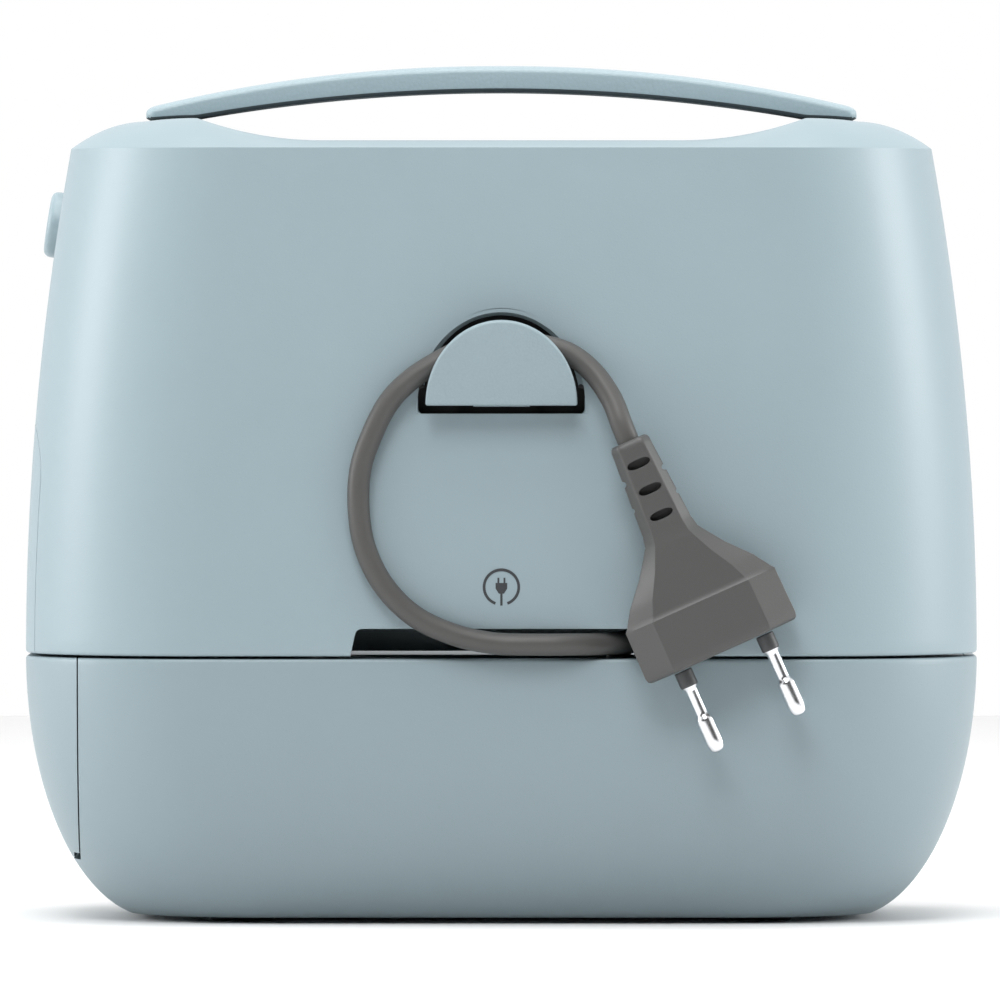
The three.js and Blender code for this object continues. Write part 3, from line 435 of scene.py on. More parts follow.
def grained(name, color, roughness, grain=0.0009, depth=0.00007):
    """Soft-touch skin with a pebbled leather grain."""
    f = Finish(name, color, roughness)
    pebbles, fine, cloud = f.cells(grain), f.noise(grain / 3, 3), f.noise(0.02, 3)
    height = 1 - pebbles + fine * 0.35
    f.tinted(f.limited(height, 0.3, 1.2) * 0.5 + cloud * 0.5, 0.05)
    f.rough(roughness + (pebbles - 0.4) * 0.12)
    return f.bump(height, depth).material


def brushed(name, color, roughness, along="X"):
    """Machined metal with fine marks along one direction."""
    f = Finish(name, color, roughness, metallic=1.0)
    scale = {"X": (0.03, 1, 1), "Y": (1, 0.03, 1), "Z": (1, 1, 0.03)}[along]
    marks, cloud = f.noise(0.0003, 3, f.stretched(*scale)), f.noise(0.015, 2)
    f.tinted(marks, 0.06)
    f.rough(roughness + (marks - 0.5) * 0.15 + (cloud - 0.5) * 0.08)
    return f.bump(marks, 0.000004).material


def plated(name, color, roughness):
    """Polished plating with faint handling marks."""
    f = Finish(name, color, roughness, metallic=1.0)
    cloud, fine = f.noise(0.008, 4), f.noise(0.0012, 2)
    f.tinted(cloud, 0.02)
    return f.rough(roughness + cloud * 0.06).bump(fine, 0.000002).material


def rubbery(name, color, roughness, grain=0.0006, depth=0.00002):
    f = Finish(name, color, roughness, specular=0.4)
    fine, cloud = f.noise(grain, 3), f.noise(0.012, 3)
    f.tinted(fine * 0.5 + cloud * 0.5, 0.08)
    return f.rough(roughness + (cloud - 0.5) * 0.12).bump(fine, depth).material


def circuit(name, color):
    f = Finish(name, color, 0.35, coat=0.3)
    tracks = f.limited(f.cells(0.005, "DISTANCE_TO_EDGE"), 0.03, 0.06)
    copper = tuple(c * 1.8 for c in color)
    f.put(f.shader.inputs["Base Color"], f.mix(tracks, copper, color))
    return f.bump(tracks, -0.00003).material


def lamp(name, color):
    f = Finish(name, color, 0.25, coat=0.4)
    flutes = f.node("ShaderNodeTexWave", Vector=f.place, Scale=150)["Fac"]
    return f.tinted(flutes, 0.04).bump(flutes, 0.0001).material


MATERIALS = {}


def paint(slot):
    return MATERIALS[slot]


# ---------------------------------------------------------------------------------------------
# Geometry node trees for what repeats
# ---------------------------------------------------------------------------------------------
class Tree:
    """A geometry node group with named inputs."""

    def __init__(self, name, **inputs):
        self.group = bpy.data.node_groups.new(name, "GeometryNodeTree")
        self.group.interface.new_socket("Geometry", in_out="OUTPUT", socket_type="NodeSocketGeometry")
        kinds = {int: "NodeSocketInt", float: "NodeSocketFloat", tuple: "NodeSocketVector"}
        self.ids = {}
        for key, value in inputs.items():
            kind = kinds.get(type(value), "NodeSocketMaterial")
            label = key.replace("_", " ").title()
            socket = self.group.interface.new_socket(label, in_out="INPUT", socket_type=kind)
            if value is not None:
                socket.default_value = value
            self.ids[key] = socket.identifier
        self.input = self.group.nodes.new("NodeGroupInput")
        self.output = self.group.nodes.new("NodeGroupOutput")

    def get(self, key):
        return next(s for s in self.input.outputs if s.identifier == self.ids[key])

    def node(self, kind, settings=None, **inputs):
        made = self.group.nodes.new(kind)
        for key, value in (settings or {}).items():
            setattr(made, key, value)
        for key, value in inputs.items():
            socket = next(s for s in made.inputs if s.name == key.replace("_", " ") and s.enabled)
            if isinstance(value, bpy.types.NodeSocket):
                self.group.links.new(value, socket)
            else:
                socket.default_value = value
        return made.outputs

    def close(self, geometry):
        """Ends the tree: real geometry, then the material."""
        real = self.node("GeometryNodeRealizeInstances", Geometry=geometry)["Geometry"]
        painted = self.node("GeometryNodeSetMaterial", Geometry=real, Material=self.get("material"))
        self.group.links.new(painted["Geometry"], self.output.inputs["Geometry"])
        return self

    def grow(self, name, **values):
        """Makes an object from the tree with these inputs and turns it into a plain mesh."""
        obj = bpy.data.objects.new(name, bpy.data.meshes.new(name))
        bpy.context.scene.collection.objects.link(obj)
        mod = obj.modifiers.new("grow", "NODES")
        mod.node_group = self.group
        for key, value in values.items():
            mod[self.ids[key]] = value
        return freeze(obj)


def rib_tree():
    """Ribs that stand round a knob's rim."""
    t = Tree("Knob Ribs", count=40, radius=0.01, length=0.005, rib=0.0006, middle=(0.0, 0.0, 0.0),
             turn=(0.0, 0.0, 0.0), material=None)
    circle = t.node("GeometryNodeCurvePrimitiveCircle", Radius=t.get("radius"),
                    Resolution=t.get("count"))["Curve"]
    points = t.node("GeometryNodeCurveToPoints", Curve=circle, Count=t.get("count"))
    rib = t.node("GeometryNodeMeshCylinder", Vertices=8, Radius=t.get("rib"), Depth=t.get("length"))["Mesh"]
    ribs = t.node("GeometryNodeInstanceOnPoints", Points=points["Points"], Instance=rib)["Instances"]
    placed = t.node("GeometryNodeTransform", Geometry=ribs, Translation=t.get("middle"),
                    Rotation=t.get("turn"))
    return t.close(placed["Geometry"])


def spring_tree():
    """A wire coil standing upright."""
    t = Tree("Coil Spring", turns=7.0, radius=0.004, height=0.014, wire=0.0004, middle=(0.0, 0.0, 0.0),
             material=None)
    coil = t.node("GeometryNodeCurveSpiral", Resolution=36, Rotations=t.get("turns"),
                  Start_Radius=t.get("radius"), End_Radius=t.get("radius"), Height=t.get("height"))["Curve"]
    section = t.node("GeometryNodeCurvePrimitiveCircle", Radius=t.get("wire"), Resolution=10)["Curve"]
    wire = t.node("GeometryNodeCurveToMesh", Curve=coil, Profile_Curve=section, Fill_Caps=True)["Mesh"]
    placed = t.node("GeometryNodeTransform", Geometry=wire, Translation=t.get("middle"))
    return t.close(placed["Geometry"])


def row_tree():
    """Small blocks in a straight row, such as teeth or scale marks."""
    t = Tree("Row Of Blocks", count=5, step=(0.001, 0.0, 0.0), first=(0.0, 0.0, 0.0),
             block=(0.001, 0.001, 0.001), material=None)
    line = t.node("GeometryNodeMeshLine", Count=t.get("count"), Start_Location=t.get("first"),
                  Offset=t.get("step"))["Mesh"]
    cube = t.node("GeometryNodeMeshCube", Size=t.get("block"))["Mesh"]
    row = t.node("GeometryNodeInstanceOnPoints", Points=line, Instance=cube)["Instances"]
    return t.close(row)


def mark_tree():
    """Printed scale marks that stand round a dial."""
    t = Tree("Dial Marks", count=12, radius=0.01, mark=(0.0005, 0.0014, 0.0001), middle=(0.0, 0.0, 0.0),
             turn=(0.0, 0.0, 0.0), material=None)
    circle = t.node("GeometryNodeCurvePrimitiveCircle", Radius=t.get("radius"), Resolution=96)["Curve"]
    points = t.node("GeometryNodeCurveToPoints", Curve=circle, Count=t.get("count"))
    cube = t.node("GeometryNodeMeshCube", Size=t.get("mark"))["Mesh"]
    marks = t.node("GeometryNodeInstanceOnPoints", Points=points["Points"], Instance=cube,
                   Rotation=points["Rotation"])["Instances"]
    placed = t.node("GeometryNodeTransform", Geometry=marks, Translation=t.get("middle"),
                    Rotation=t.get("turn"))
    return t.close(placed["Geometry"])


TREES = {}


# ---------------------------------------------------------------------------------------------
# The outer form
# ---------------------------------------------------------------------------------------------
ARC_STEPS, LONG_STEPS, SHORT_STEPS = 20, 60, 14
SEAM_ROUND = 0.7


def outline(half_w, half_d, r, inset):
    """A rounded rectangle, anticlockwise from above, moved in by inset."""
    radius = max(r - inset, 0)
    w, d = half_w - max(inset, r), half_d - max(inset, r)
    corners = [(w, d, 0), (-w, d, 90), (-w, -d, 180), (w, -d, 270)]
    points = []
    for k, (cx, cy, start) in enumerate(corners):
        for i in range(ARC_STEPS + 1):
            t = math.radians(start + 90 * i / ARC_STEPS)
            points.append((cx + radius * math.cos(t), cy + radius * math.sin(t)))
        nx, ny, _ = corners[(k + 1) % 4]
        turn = math.radians(start + 90)
        ex, ey = points[-1]
        fx, fy = nx + radius * math.cos(turn), ny + radius * math.sin(turn)
        steps = SHORT_STEPS if k % 2 else LONG_STEPS
        for i in range(1, steps):
            points.append((ex + (fx - ex) * i / steps, ey + (fy - ey) * i / steps))
    return points


def wall_ring(z, inset):
    return [(x, y, z) for x, y in outline(side_at(z), back_at(z), corner_at(z), inset)]


def quarter(steps=4):
    for k in range(steps + 1):
        a = k / steps * math.pi / 2
        yield SEAM_ROUND * (1 - math.sin(a)), SEAM_ROUND * (1 - math.cos(a))


def upper_form(name, inset, from_z):
    rings = []
    if inset == 0:
        rings += [wall_ring(from_z + up, side) for side, up in quarter()]
    else:
        rings.append(wall_ring(from_z, inset))
    steps = 40 if inset == 0 else 14
    start, top = rings[-1][0][2], WALL_TOP_Z - inset
    rings += [wall_ring(start + (top - start) * k / steps, inset) for k in range(1, steps + 1)]
    w, d, r = side_at(WALL_TOP_Z), back_at(WALL_TOP_Z), corner_at(WALL_TOP_Z)
    steps = 60 if inset == 0 else 20
    for k in range(1, steps + 1):
        at = (d - inset) * (k / steps) ** 1.5
        ring = [(x, 0 if k == steps else y) for x, y in outline(w, d, r, inset + at)]
        rings.append([(x, y, WALL_TOP_Z + crown(at) * (ridge(x) - WALL_TOP_Z) - inset) for x, y in ring])
    bm = bmesh.new()
    rows = [[bm.verts.new(Vector(p) * MM) for p in ring] for ring in rings]
    n = len(rows[0])
    for a, b in zip(rows, rows[1:]):
        for i in range(n):
            bm.faces.new((a[i], a[(i + 1) % n], b[(i + 1) % n], b[i]))
    bm.faces.new(rows[0])
    bmesh.ops.remove_doubles(bm, verts=bm.verts, dist=1e-6)
    return new_object(name, bm)


def lower_form(name, inset, floor_z, top_z):
    rings, steps = [], 44 if inset == 0 else 20
    last = math.asin(1 - floor_z / SEAM_Z)
    for k in range(steps + 1):
        z = SEAM_Z * (1 - math.sin(last * (1 - k / steps)))
        if z < top_z - SEAM_ROUND:
            rings.append(wall_ring(max(z, floor_z), inset))
    if inset == 0:
        rings += [wall_ring(top_z - up, side) for side, up in reversed(list(quarter()))]
    else:
        rings.append(wall_ring(min(top_z, SEAM_Z + 0.3), inset))
    return skin(name, rings)


def half_disc(half_w, height, below=0.0, steps=48):
    points = [(half_w * math.cos(math.pi * i / steps), height * math.sin(math.pi * i / steps))
              for i in range(steps + 1)]
    return points + [(-half_w, -below), (half_w, -below)] if below else points


def soft_corners(points, radius, steps=5):
    """Rounds the sharp corners of a closed outline."""
    out, n = [], len(points)
    for i in range(n):
        a, p, b = Vector(points[i - 1]), Vector(points[i]), Vector(points[(i + 1) % n])
        if (p - a).angle(b - p, 0) < math.radians(25):
            out.append(tuple(p))
            continue
        r = min(radius, (a - p).length * 0.45, (b - p).length * 0.45)
        s, e = p + (a - p).normalized() * r, p + (b - p).normalized() * r
        out += [tuple(s.lerp(p, k / steps).lerp(p.lerp(e, k / steps), k / steps)) for k in range(steps + 1)]
    return out


def recess(name, grow, y0, y1, lower=None, foot=None):
    """The hook's recess, grown round the hook; a pair of grows makes it widen outward."""
    near, far = grow if isinstance(grow, tuple) else (grow, grow)
    rings = []
    for g, y in ((near, y0), (far, y1)):
        points = half_disc(FLAP_W / 2 + (1.7 if foot else g), FLAP_H + g, foot or (2.1 if lower else 3.4))
        rings.append([(x, y, z + FLAP_Z) for x, z in soft_corners(points, 1.3)])
    solid = skin(name, rings)
    if lower:
        w = FLAP_W / 2 + lower
        points = [(-w, FLAP_Z - 2.1), (w, FLAP_Z - 2.1), (w, FLAP_Z + 3.4), (-w, FLAP_Z + 3.4)]
        join(solid, slab("lower", soft_corners(points, 1.3), y0, y1))
    return solid


def hatch_cutter(grow):
    w, top, r = HATCH_HALF + grow, HATCH_TOP + grow, HATCH_R + grow
    arc = [(w - r + r * math.cos(math.pi / 2 * i / 16), top - r + r * math.sin(math.pi / 2 * i / 16))
           for i in range(17)]
    points = [(-w, SEAM_LOW - 2), (w, SEAM_LOW - 2)] + arc + [(-y, z) for y, z in reversed(arc)]
    return slab("hatch", points, 80, FAR, axis="X")


def face_cutter(grow):
    x1 = high("face_cover", 0)
    y0, y1 = low("face_cover", 1), high("face_cover", 1)
    z0, z1 = low("face_cover", 2), high("face_cover", 2)
    return box("face", -FAR, x1 + grow, y0 - grow, y1 + grow, z0 - grow, z1 + grow)


def stud_holes():
    x = (HORN_IN + HORN_OUT) / 2
    return [rod("stud", (s * x, 0, 150), (s * x, 0, 190), 4.3, 32) for s in (1, -1)]


def upper_skin(name):
    outer = upper_form(name, 0, SEAM_HIGH)
    return cut(outer, upper_form("inner", WALL, SEAM_HIGH - 1))


KNOB_TILT = math.atan(2 * SIDE_LEAN * (KNOB_Z - SEAM_Z) / (WALL_TOP_Z - SEAM_Z) ** 2)
KNOB_DIR = Vector((math.cos(KNOB_TILT), 0, math.sin(KNOB_TILT)))
KNOB_AT = Vector((side_at(KNOB_Z), AXIS_Y, KNOB_Z))


# ---------------------------------------------------------------------------------------------
# Properties
# ---------------------------------------------------------------------------------------------
class SewingSizes(bpy.types.PropertyGroup):
    flap_edge: FloatProperty(name="Hook Edge", description="Rounding of the cord hook's rim",
                             default=0.45 * MM, min=0, unit="LENGTH")
    strap_edge: FloatProperty(name="Strap Edge", description="Rounding along the strap's sides",
                              default=1.1 * MM, min=0, unit="LENGTH")
    strap_swell: FloatProperty(name="Strap Swell", description="How far the strap's top is domed across",
                               default=0.6 * MM, min=0, unit="LENGTH")
    cord_sides: IntProperty(name="Cord Sides", description="Faces round the cord", default=20, min=8, max=48)
    knob_ribs: IntProperty(name="Knob Ribs", description="Ribs round each front knob", default=44, min=8)
    spring_turns: FloatProperty(name="Spring Turns", description="Turns of the presser spring",
                                default=7, min=2)


class SewingColors(bpy.types.PropertyGroup):
    shell: FloatVectorProperty(name="Housing", description="Grey-blue of the housings", subtype="COLOR",
                               default=(0.262, 0.338, 0.369), min=0, max=1)
    cord: FloatVectorProperty(name="Cord", description="Grey of the mains cord", subtype="COLOR",
                              default=(0.072, 0.071, 0.069), min=0, max=1)
    plug: FloatVectorProperty(name="Plug", description="Grey of the plug", subtype="COLOR",
                              default=(0.066, 0.066, 0.065), min=0, max=1)
    dark: FloatVectorProperty(name="Controls", description="Dark grey of the dials", subtype="COLOR",
                              default=(0.055, 0.058, 0.060), min=0, max=1)


def sizes():
    return bpy.context.scene.sewing_sizes


def colors():
    return bpy.context.scene.sewing_colors


# ---------------------------------------------------------------------------------------------
# Stage and finishes
# ---------------------------------------------------------------------------------------------
def slot_for(node):
    """The finish of a carried-over part; the two wells get a near-black painted shade."""
    return "well" if node in ("cord_well", "hatch_niche") else SLOT_OF[node]


class SEWING_OT_stage(bpy.types.Operator):
    """Pale floor, soft lights and a long-lens camera behind the machine"""

    bl_idname = "sewing.stage"
    bl_label = "Stage"

    def execute(self, context):
        scene = context.scene
        scene.view_settings.view_transform = "Standard"
        view = bpy.data.cameras.new("camera")
        back, width, height, aim = back_at(SEAM_Z) * MM, 0.2134, 0.136, 0.0912
        distance = 3.2
        view.sensor_width = 36
        view.lens = 36 * (distance - back) / width
        view.clip_end = 50
        camera = bpy.data.objects.new("camera", view)
        camera.location = (0.0003, distance, height)
        toward = Vector((0.0003, back, aim)) - camera.location
        camera.rotation_euler = toward.to_track_quat("-Z", "Y").to_euler()
        scene.collection.objects.link(camera)
        scene.camera = camera

        world = bpy.data.worlds.new("studio")
        world.use_nodes = True
        world.node_tree.nodes["Background"].inputs["Color"].default_value = (1, 1, 1, 1)
        world.node_tree.nodes["Background"].inputs["Strength"].default_value = 1.0
        scene.world = world

        floor = box("floor", -1500, 1500, -1500, 3000, -20, -0.02)
        pale = Finish("floor", (0.74, 0.74, 0.74), 0.7)
        pale.tinted(pale.noise(0.4, 2), 0.01)
        floor.data.materials.append(pale.material)
        flag = box("flag", -4500, 4500, 4000, 4020, 0, 5000)
        black = Finish("flag cloth", (0.02, 0.02, 0.02), 0.9)
        black.tinted(black.noise(0.1, 2), 0.05)
        flag.data.materials.append(black.material)

        def soft_light(name, place, size, power, target=(0, 0, 0.09)):
            light = bpy.data.lights.new(name, "AREA")
            light.shape, light.size, light.energy = "SQUARE", size, power
            obj = bpy.data.objects.new(name, light)
            obj.location = place
            obj.rotation_euler = (Vector(target) - obj.location).to_track_quat("-Z", "Y").to_euler()
            scene.collection.objects.link(obj)

        soft_light("key", (0.25, 1.4, 1.6), 0.9, 24)
        soft_light("left", (1.6, 0.0, 0.5), 0.7, 13)
        soft_light("right", (-1.6, 0.0, 0.5), 0.7, 13)
        soft_light("top", (0, 0.1, 1.5), 0.9, 12)
        return {"FINISHED"}


class SEWING_OT_finishes(bpy.types.Operator):
    """Node materials for every finish, and one for every carried-over part"""

    bl_idname = "sewing.finishes"
    bl_label = "Finishes"

    def execute(self, context):
        c = colors()
        shell, dark = tuple(c.shell), tuple(c.dark)
        MATERIALS.update({
            "shell": moulded("housing plastic", shell, 0.42),
            "base": moulded("base plastic", tuple(v * 0.9 for v in shell), 0.44),
            "panel": moulded("button plastic", (0.55, 0.62, 0.64), 0.4),
            "hook": grained("hook skin", tuple(v * 0.96 for v in shell), 0.5, 0.0005, 0.00004),
            "strap": grained("strap skin", tuple(v * 1.12 for v in shell), 0.45, 0.0008, 0.00003),
            # Near-black painted shade for the strap's underside, standing in for the shadow under it.
            "strap_painted_shade": rubbery("strap underside painted shade", (0.045, 0.055, 0.06), 0.6),
            "dark": moulded("control plastic", dark, 0.45, 0.0005, 0.00003),
            "steel": brushed("machined steel", (0.48, 0.50, 0.52), 0.32),
            "polished": plated("polished metal", (0.80, 0.81, 0.83), 0.2),
            "rubber": rubbery("black rubber", (0.03, 0.03, 0.032), 0.7),
            "cord": rubbery("cord jacket", tuple(c.cord), 0.46, 0.0008, 0.000015),
            "plug": moulded("plug plastic", tuple(c.plug), 0.42, 0.0006, 0.00002),
            "bobbin": moulded("clear-white plastic", (0.72, 0.76, 0.78), 0.25, coat=0.3),
            "board": circuit("circuit board", (0.03, 0.15, 0.07)),
            "lens": lamp("lamp lens", (0.88, 0.86, 0.78)),
            "print": rubbery("printed mark", (0.035, 0.038, 0.042), 0.5, 0.0002, 0.000005),
            # Near-black painted shade for hollows: the cord well, the bobbin niche and the inside of the
            # hook's recess.
            "well": moulded("recess painted shade", (0.012, 0.012, 0.013), 0.6),
        })
        TREES.update(ribs=rib_tree(), spring=spring_tree(), row=row_tree(), marks=mark_tree())
        for name, node in NODES.items():
            node.data.materials.clear()
            node.data.materials.append(paint(slot_for(name)))
        return {"FINISHED"}


# ---------------------------------------------------------------------------------------------
# Cord
# ---------------------------------------------------------------------------------------------
def on_wall(z):
    return back_at(z) + CORD_D / 2 + 0.4


WELL_AT = Vector((0, 20, 0))
COIL_MEAN_R, TURN_PITCH = 24, 4.9
RUN = [
    (-24, 20, 51.4), (-24.3, 26, 53), (-25, 32, 56.6), (-26.5, 37.5, 60), (-28, 43, 60.6),
    (-28, 49, 60.6), (-25.5, 55, 60.5), (-20.5, 60, 60.4), (-14, 63, 60.4), (-7, on_wall(60), 60.4),
    (1.9, on_wall(60), 60.7), (10.4, on_wall(62), 62.6), (18.6, on_wall(66), 66.5), (25.1, on_wall(73), 73),
    (29.2, on_wall(81), 81.4), (30.5, on_wall(90), 90.3), (30, on_wall(98), 98.1),
    (27.6, on_wall(105), 105.2),
    (24, on_wall(112), 112.1), (19.7, on_wall(116), 116.6), (14, 62.5, 120.4), (7, 62.3, 123.6),
    (0, 62.2, 124.6), (-8, 62.3, 124.3), (-14.5, 62.5, 122.4), (-19.4, 63.6, 118.6), (-23.5, 66, 112.7),
    (-25.6, 68.1, 107.4), (-26.8, 68.3, 104.4), (-27.4, 68.4, 103.0),
]


def through(points, step=1.2):
    """A smooth centripetal curve through points, cut into even steps."""
    pts = [Vector(p) for p in points]
    pts = [pts[0] * 2 - pts[1]] + pts + [pts[-1] * 2 - pts[-2]]
    line = []
    for p0, p1, p2, p3 in zip(pts, pts[1:], pts[2:], pts[3:]):
        t0, t1 = 0, (p1 - p0).length ** 0.5
        t2 = t1 + (p2 - p1).length ** 0.5
        t3 = t2 + (p3 - p2).length ** 0.5
        count = max(2, round((p2 - p1).length / step))
        for i in range(count):
            t = t1 + (t2 - t1) * i / count
            a1 = p0.lerp(p1, (t - t0) / (t1 - t0))
            a2 = p1.lerp(p2, (t - t1) / (t2 - t1))
            a3 = p2.lerp(p3, (t - t2) / (t3 - t2))
            b1, b2 = a1.lerp(a2, (t - t0) / (t2 - t0)), a2.lerp(a3, (t - t1) / (t3 - t1))
            line.append(b1.lerp(b2, (t - t1) / (t2 - t1)))
    return line + [pts[-2]]


def stowed_turns():
    """Nine turns in the well, laid in three layers, that end on top where the run begins."""
    slots = [(-1, 0), (0, 0), (1, 0), (1, 1), (0, 1), (-1, 1), (-1, 2), (0, 2), (1, 2), (0, 3.05)]
    line, steps = [], 60
    floor = low("cord_coil", 2) + CORD_D / 2 + 0.1
    ease = lambda v: (lambda c: c * c * (3 - 2 * c))(min(1, max(0, v)))

    def at(r, z, u):
        t = math.pi - 2 * math.pi * u
        line.append(WELL_AT + Vector((r * math.cos(t), r * math.sin(t), z)))

    for i in range(12):
        v = 1 - i / 12
        at(COIL_MEAN_R - TURN_PITCH - 3.2 * ease(v), floor, -0.22 * v)
    for (r0, z0), (r1, z1) in zip(slots, slots[1:]):
        for i in range(steps):
            u = i / steps
            r = COIL_MEAN_R + TURN_PITCH * (r0 + (r1 - r0) * ease((u - 0.8) / 0.2))
            at(r, floor + TURN_PITCH * (z0 + (z1 - z0) * ease((u - 0.6) / 0.2)), u)
    return line


def tube(name, line, radius, sides, end=None):
    """A round tube along a line of points, with even twist and closed ends; end is a second radius."""
    side, rings = None, []
    for i, p in enumerate(line):
        tangent = (line[min(i + 1, len(line) - 1)] - line[max(i - 1, 0)]).normalized()
        if side is None:
            side = tangent.orthogonal().normalized()
        side = (side - tangent * side.dot(tangent)).normalized()
        up, r = tangent.cross(side), radius
        if end is not None:
            r = radius + (end - radius) * i / (len(line) - 1)
        rings.append([p + (side * math.cos(t) + up * math.sin(t)) * r
                      for t in (2 * math.pi * k / sides for k in range(sides))])
    return skin(name, rings)


class SEWING_OT_cord(bpy.types.Operator):
    """Mains cord: stowed turns in the base, out of the notch, round a loop and behind the hook"""

    bl_idname = "sewing.cord"
    bl_label = "Cord"

    def execute(self, context):
        turns = stowed_turns()
        run = through(RUN)
        line = turns + [p for p in run if (p - turns[-1]).length > 0.8]
        cord = smooth(tube("mains_cord", line, CORD_D / 2 - 0.02, sizes().cord_sides), 60)
        finish(cord, "body", paint("cord"), "cord_run", "cord_coil")
        relief = smooth(tube("cord_strain_relief", line[:14], 3.5, sizes().cord_sides, CORD_D / 2 + 0.15), 60)
        finish(relief, "body", paint("cord"), slot="cord")
        length = sum((b - a).length for a, b in zip(line, line[1:])) * MM
        context.scene["cord_length_m"] = length
        tuple(line[0] * MM)
        [tuple(p * MM) for p in line]
        return {"FINISHED"}


PLUG_DIR = Vector((-0.41, 0, -0.912)).normalized()
PLUG_ACROSS = Vector((-PLUG_DIR.z, 0, PLUG_DIR.x))
SLEEVE_END = Vector((-26.8, 68.4, 104.4)) + PLUG_DIR * 0.6
SLEEVE_LEN, FLARE_LEN, BODY_LEN = 22.9, 14.2, 12
PLUG_W, PLUG_T, PIN_GAP, PIN_LEN = 35, 13.7, 19, 19


def on_plug(v, u=0.0, y=0.0):
    return SLEEVE_END + PLUG_DIR * v + PLUG_ACROSS * u + Vector((0, y, 0))


def chaikin(points, times):
    for _ in range(times):
        points = [tuple(Vector(a).lerp(Vector(b), f)) for a, b in zip(points, points[1:] + points[:1])
                  for f in (0.25, 0.75)]
    return points


def plug_section(v, w, t, edge):
    """Six-sided: full thickness in the middle, thin at the two edges."""
    points = [(w, -edge), (w, edge), (w * 0.64, t), (-w * 0.64, t), (-w, edge), (-w, -edge), (-w * 0.64, -t),
              (w * 0.64, -t)]
    closed = []
    for a, b in zip(points, points[1:] + points[:1]):
        side = (Vector(b) - Vector(a)).length
        near = min(0.3, (0.25 + 1.4 * max(0, 1 - v / SLEEVE_LEN)) / side)
        closed += [a, *(tuple(Vector(a).lerp(Vector(b), f)) for f in (near, 0.5, 1 - near))]
    return [on_plug(v, u, y) for u, y in chaikin(closed, 2)]


class SEWING_OT_plug(bpy.types.Operator):
    """Two-pin plug with a slotted sleeve"""

    bl_idname = "sewing.plug"
    bl_label = "Plug"

    def execute(self, context):
        length, half, thick = SLEEVE_LEN, PLUG_W / 2, PLUG_T / 2
        mid, end = length + FLARE_LEN, length + FLARE_LEN + BODY_LEN
        keys = [(0, 3.7, 3.5, 1.6), (0.35, 4.15, 4.0, 1.9), (1, 4.4, 4.3, 2), (length - 3, 5.6, 5, 2.4),
                (length - 0.6, 6.1, 5.3, 2.6), (length + 0.6, 6.9, 5.5, 2.6), (length + 5, 10, 5.9, 2.8),
                (length + 10, 14.4, 6.2, 2.9), (mid - 0.5, half - 0.7, thick - 0.35, 3),
                (mid + 0.1, half - 0.15, thick - 0.02, 3), (end - 1.4, half, thick, 3),
                (end - 0.5, half - 0.25, thick - 0.2, 2.8), (end - 0.1, half - 0.8, thick - 0.7, 2.4),
                (end, half - 1.6, thick - 1.4, 1.9)]
        rings = []
        for a, b in zip(keys, keys[1:]):
            count = max(1, round((b[0] - a[0]) / 0.8))
            rings += [plug_section(*(p + (q - p) * i / count for p, q in zip(a, b))) for i in range(count)]
        rings.append(plug_section(*keys[-1]))
        body = skin("mains_plug", rings)
        slots = []
        for k in range(3):
            v = 5.2 + k * 5.9
            for side in (1, -1):
                slots.append(self.oval("slot", v, 0, 2.6, 0.95, side * 0.9, side * 12))
            for side in (1, -1):
                slots.append(self.oval("slot", v + 2.9, side * (6.1 + 0.12 * v), 2.6, 0.95, -12, 12))
        cut(body, *slots)
        finish(smooth(body, 28), "body", paint("plug"), "plug_body", slot="plug")
        for s, name, node in ((-1, "plug_pin_left", "plug_pin_1"), (1, "plug_pin_right", "plug_pin_2")):
            start = on_plug(end + FIT, s * PIN_GAP / 2)
            collar = rounded([(0.01, 0), (1.9, 0), (1.9, 3.6), (1.35, 4.4), (1.35, 10.2), (1.95, 11.2),
                              (2, PIN_LEN - 2.4), (1.5, PIN_LEN - 0.5), (0.01, PIN_LEN)], 0.8, 6)
            pin = smooth(turned(name, collar, start, PLUG_DIR, 40), 50)
            finish(pin, "body", paint("polished"), node)
            profile = rounded([(1.2, 0.02), (1.99, 0.02), (1.99, 3.4), (1.4, 4.2)], 0.3)
            cover = turned(name + "_collar", profile, start, PLUG_DIR, 40)
            finish(smooth(cover, 50), "body", paint("dark"), slot="dark")
        return {"FINISHED"}

    @staticmethod
    def oval(name, v, u, half_u, half_v, y0, y1):
        points = [(half_u * math.copysign(abs(math.cos(t)) ** 0.7, math.cos(t)), half_v * math.sin(t))
                  for t in (2 * math.pi * i / 24 for i in range(24))]
        return skin(name, [[on_plug(v + b, u + a, y) for a, b in points] for y in (y0, y1)])


# ---------------------------------------------------------------------------------------------
# Housings
# ---------------------------------------------------------------------------------------------
class SEWING_OT_back_housing(bpy.types.Operator):
    """Closed back with its horns, cord notch and hook opening"""

    bl_idname = "sewing.back_housing"
    bl_label = "Back Housing"

    def execute(self, context):
        shell = upper_skin("back_shell")
        common(shell, box("half", -FAR, FAR, SPLIT_Y + FIT / 2, FAR, SEAM_HIGH - 2, FAR))
        corner = 1.4
        notch = [(-NOTCH_W / 2, SEAM_Z - 3), (NOTCH_W / 2, SEAM_Z - 3),
                 (NOTCH_TOP_W / 2, SEAM_HIGH + NOTCH_H), (-NOTCH_TOP_W / 2, SEAM_HIGH + NOTCH_H)]
        notch = slab("notch", soft_corners(notch, corner), 30, FAR)
        cut(shell, notch, hatch_cutter(FIT), recess("hook", 2.15, 30, FAR, foot=2.1), *stud_holes())
        finish(smooth(shell), "body", paint("shell"), "back_housing")
        return {"FINISHED"}


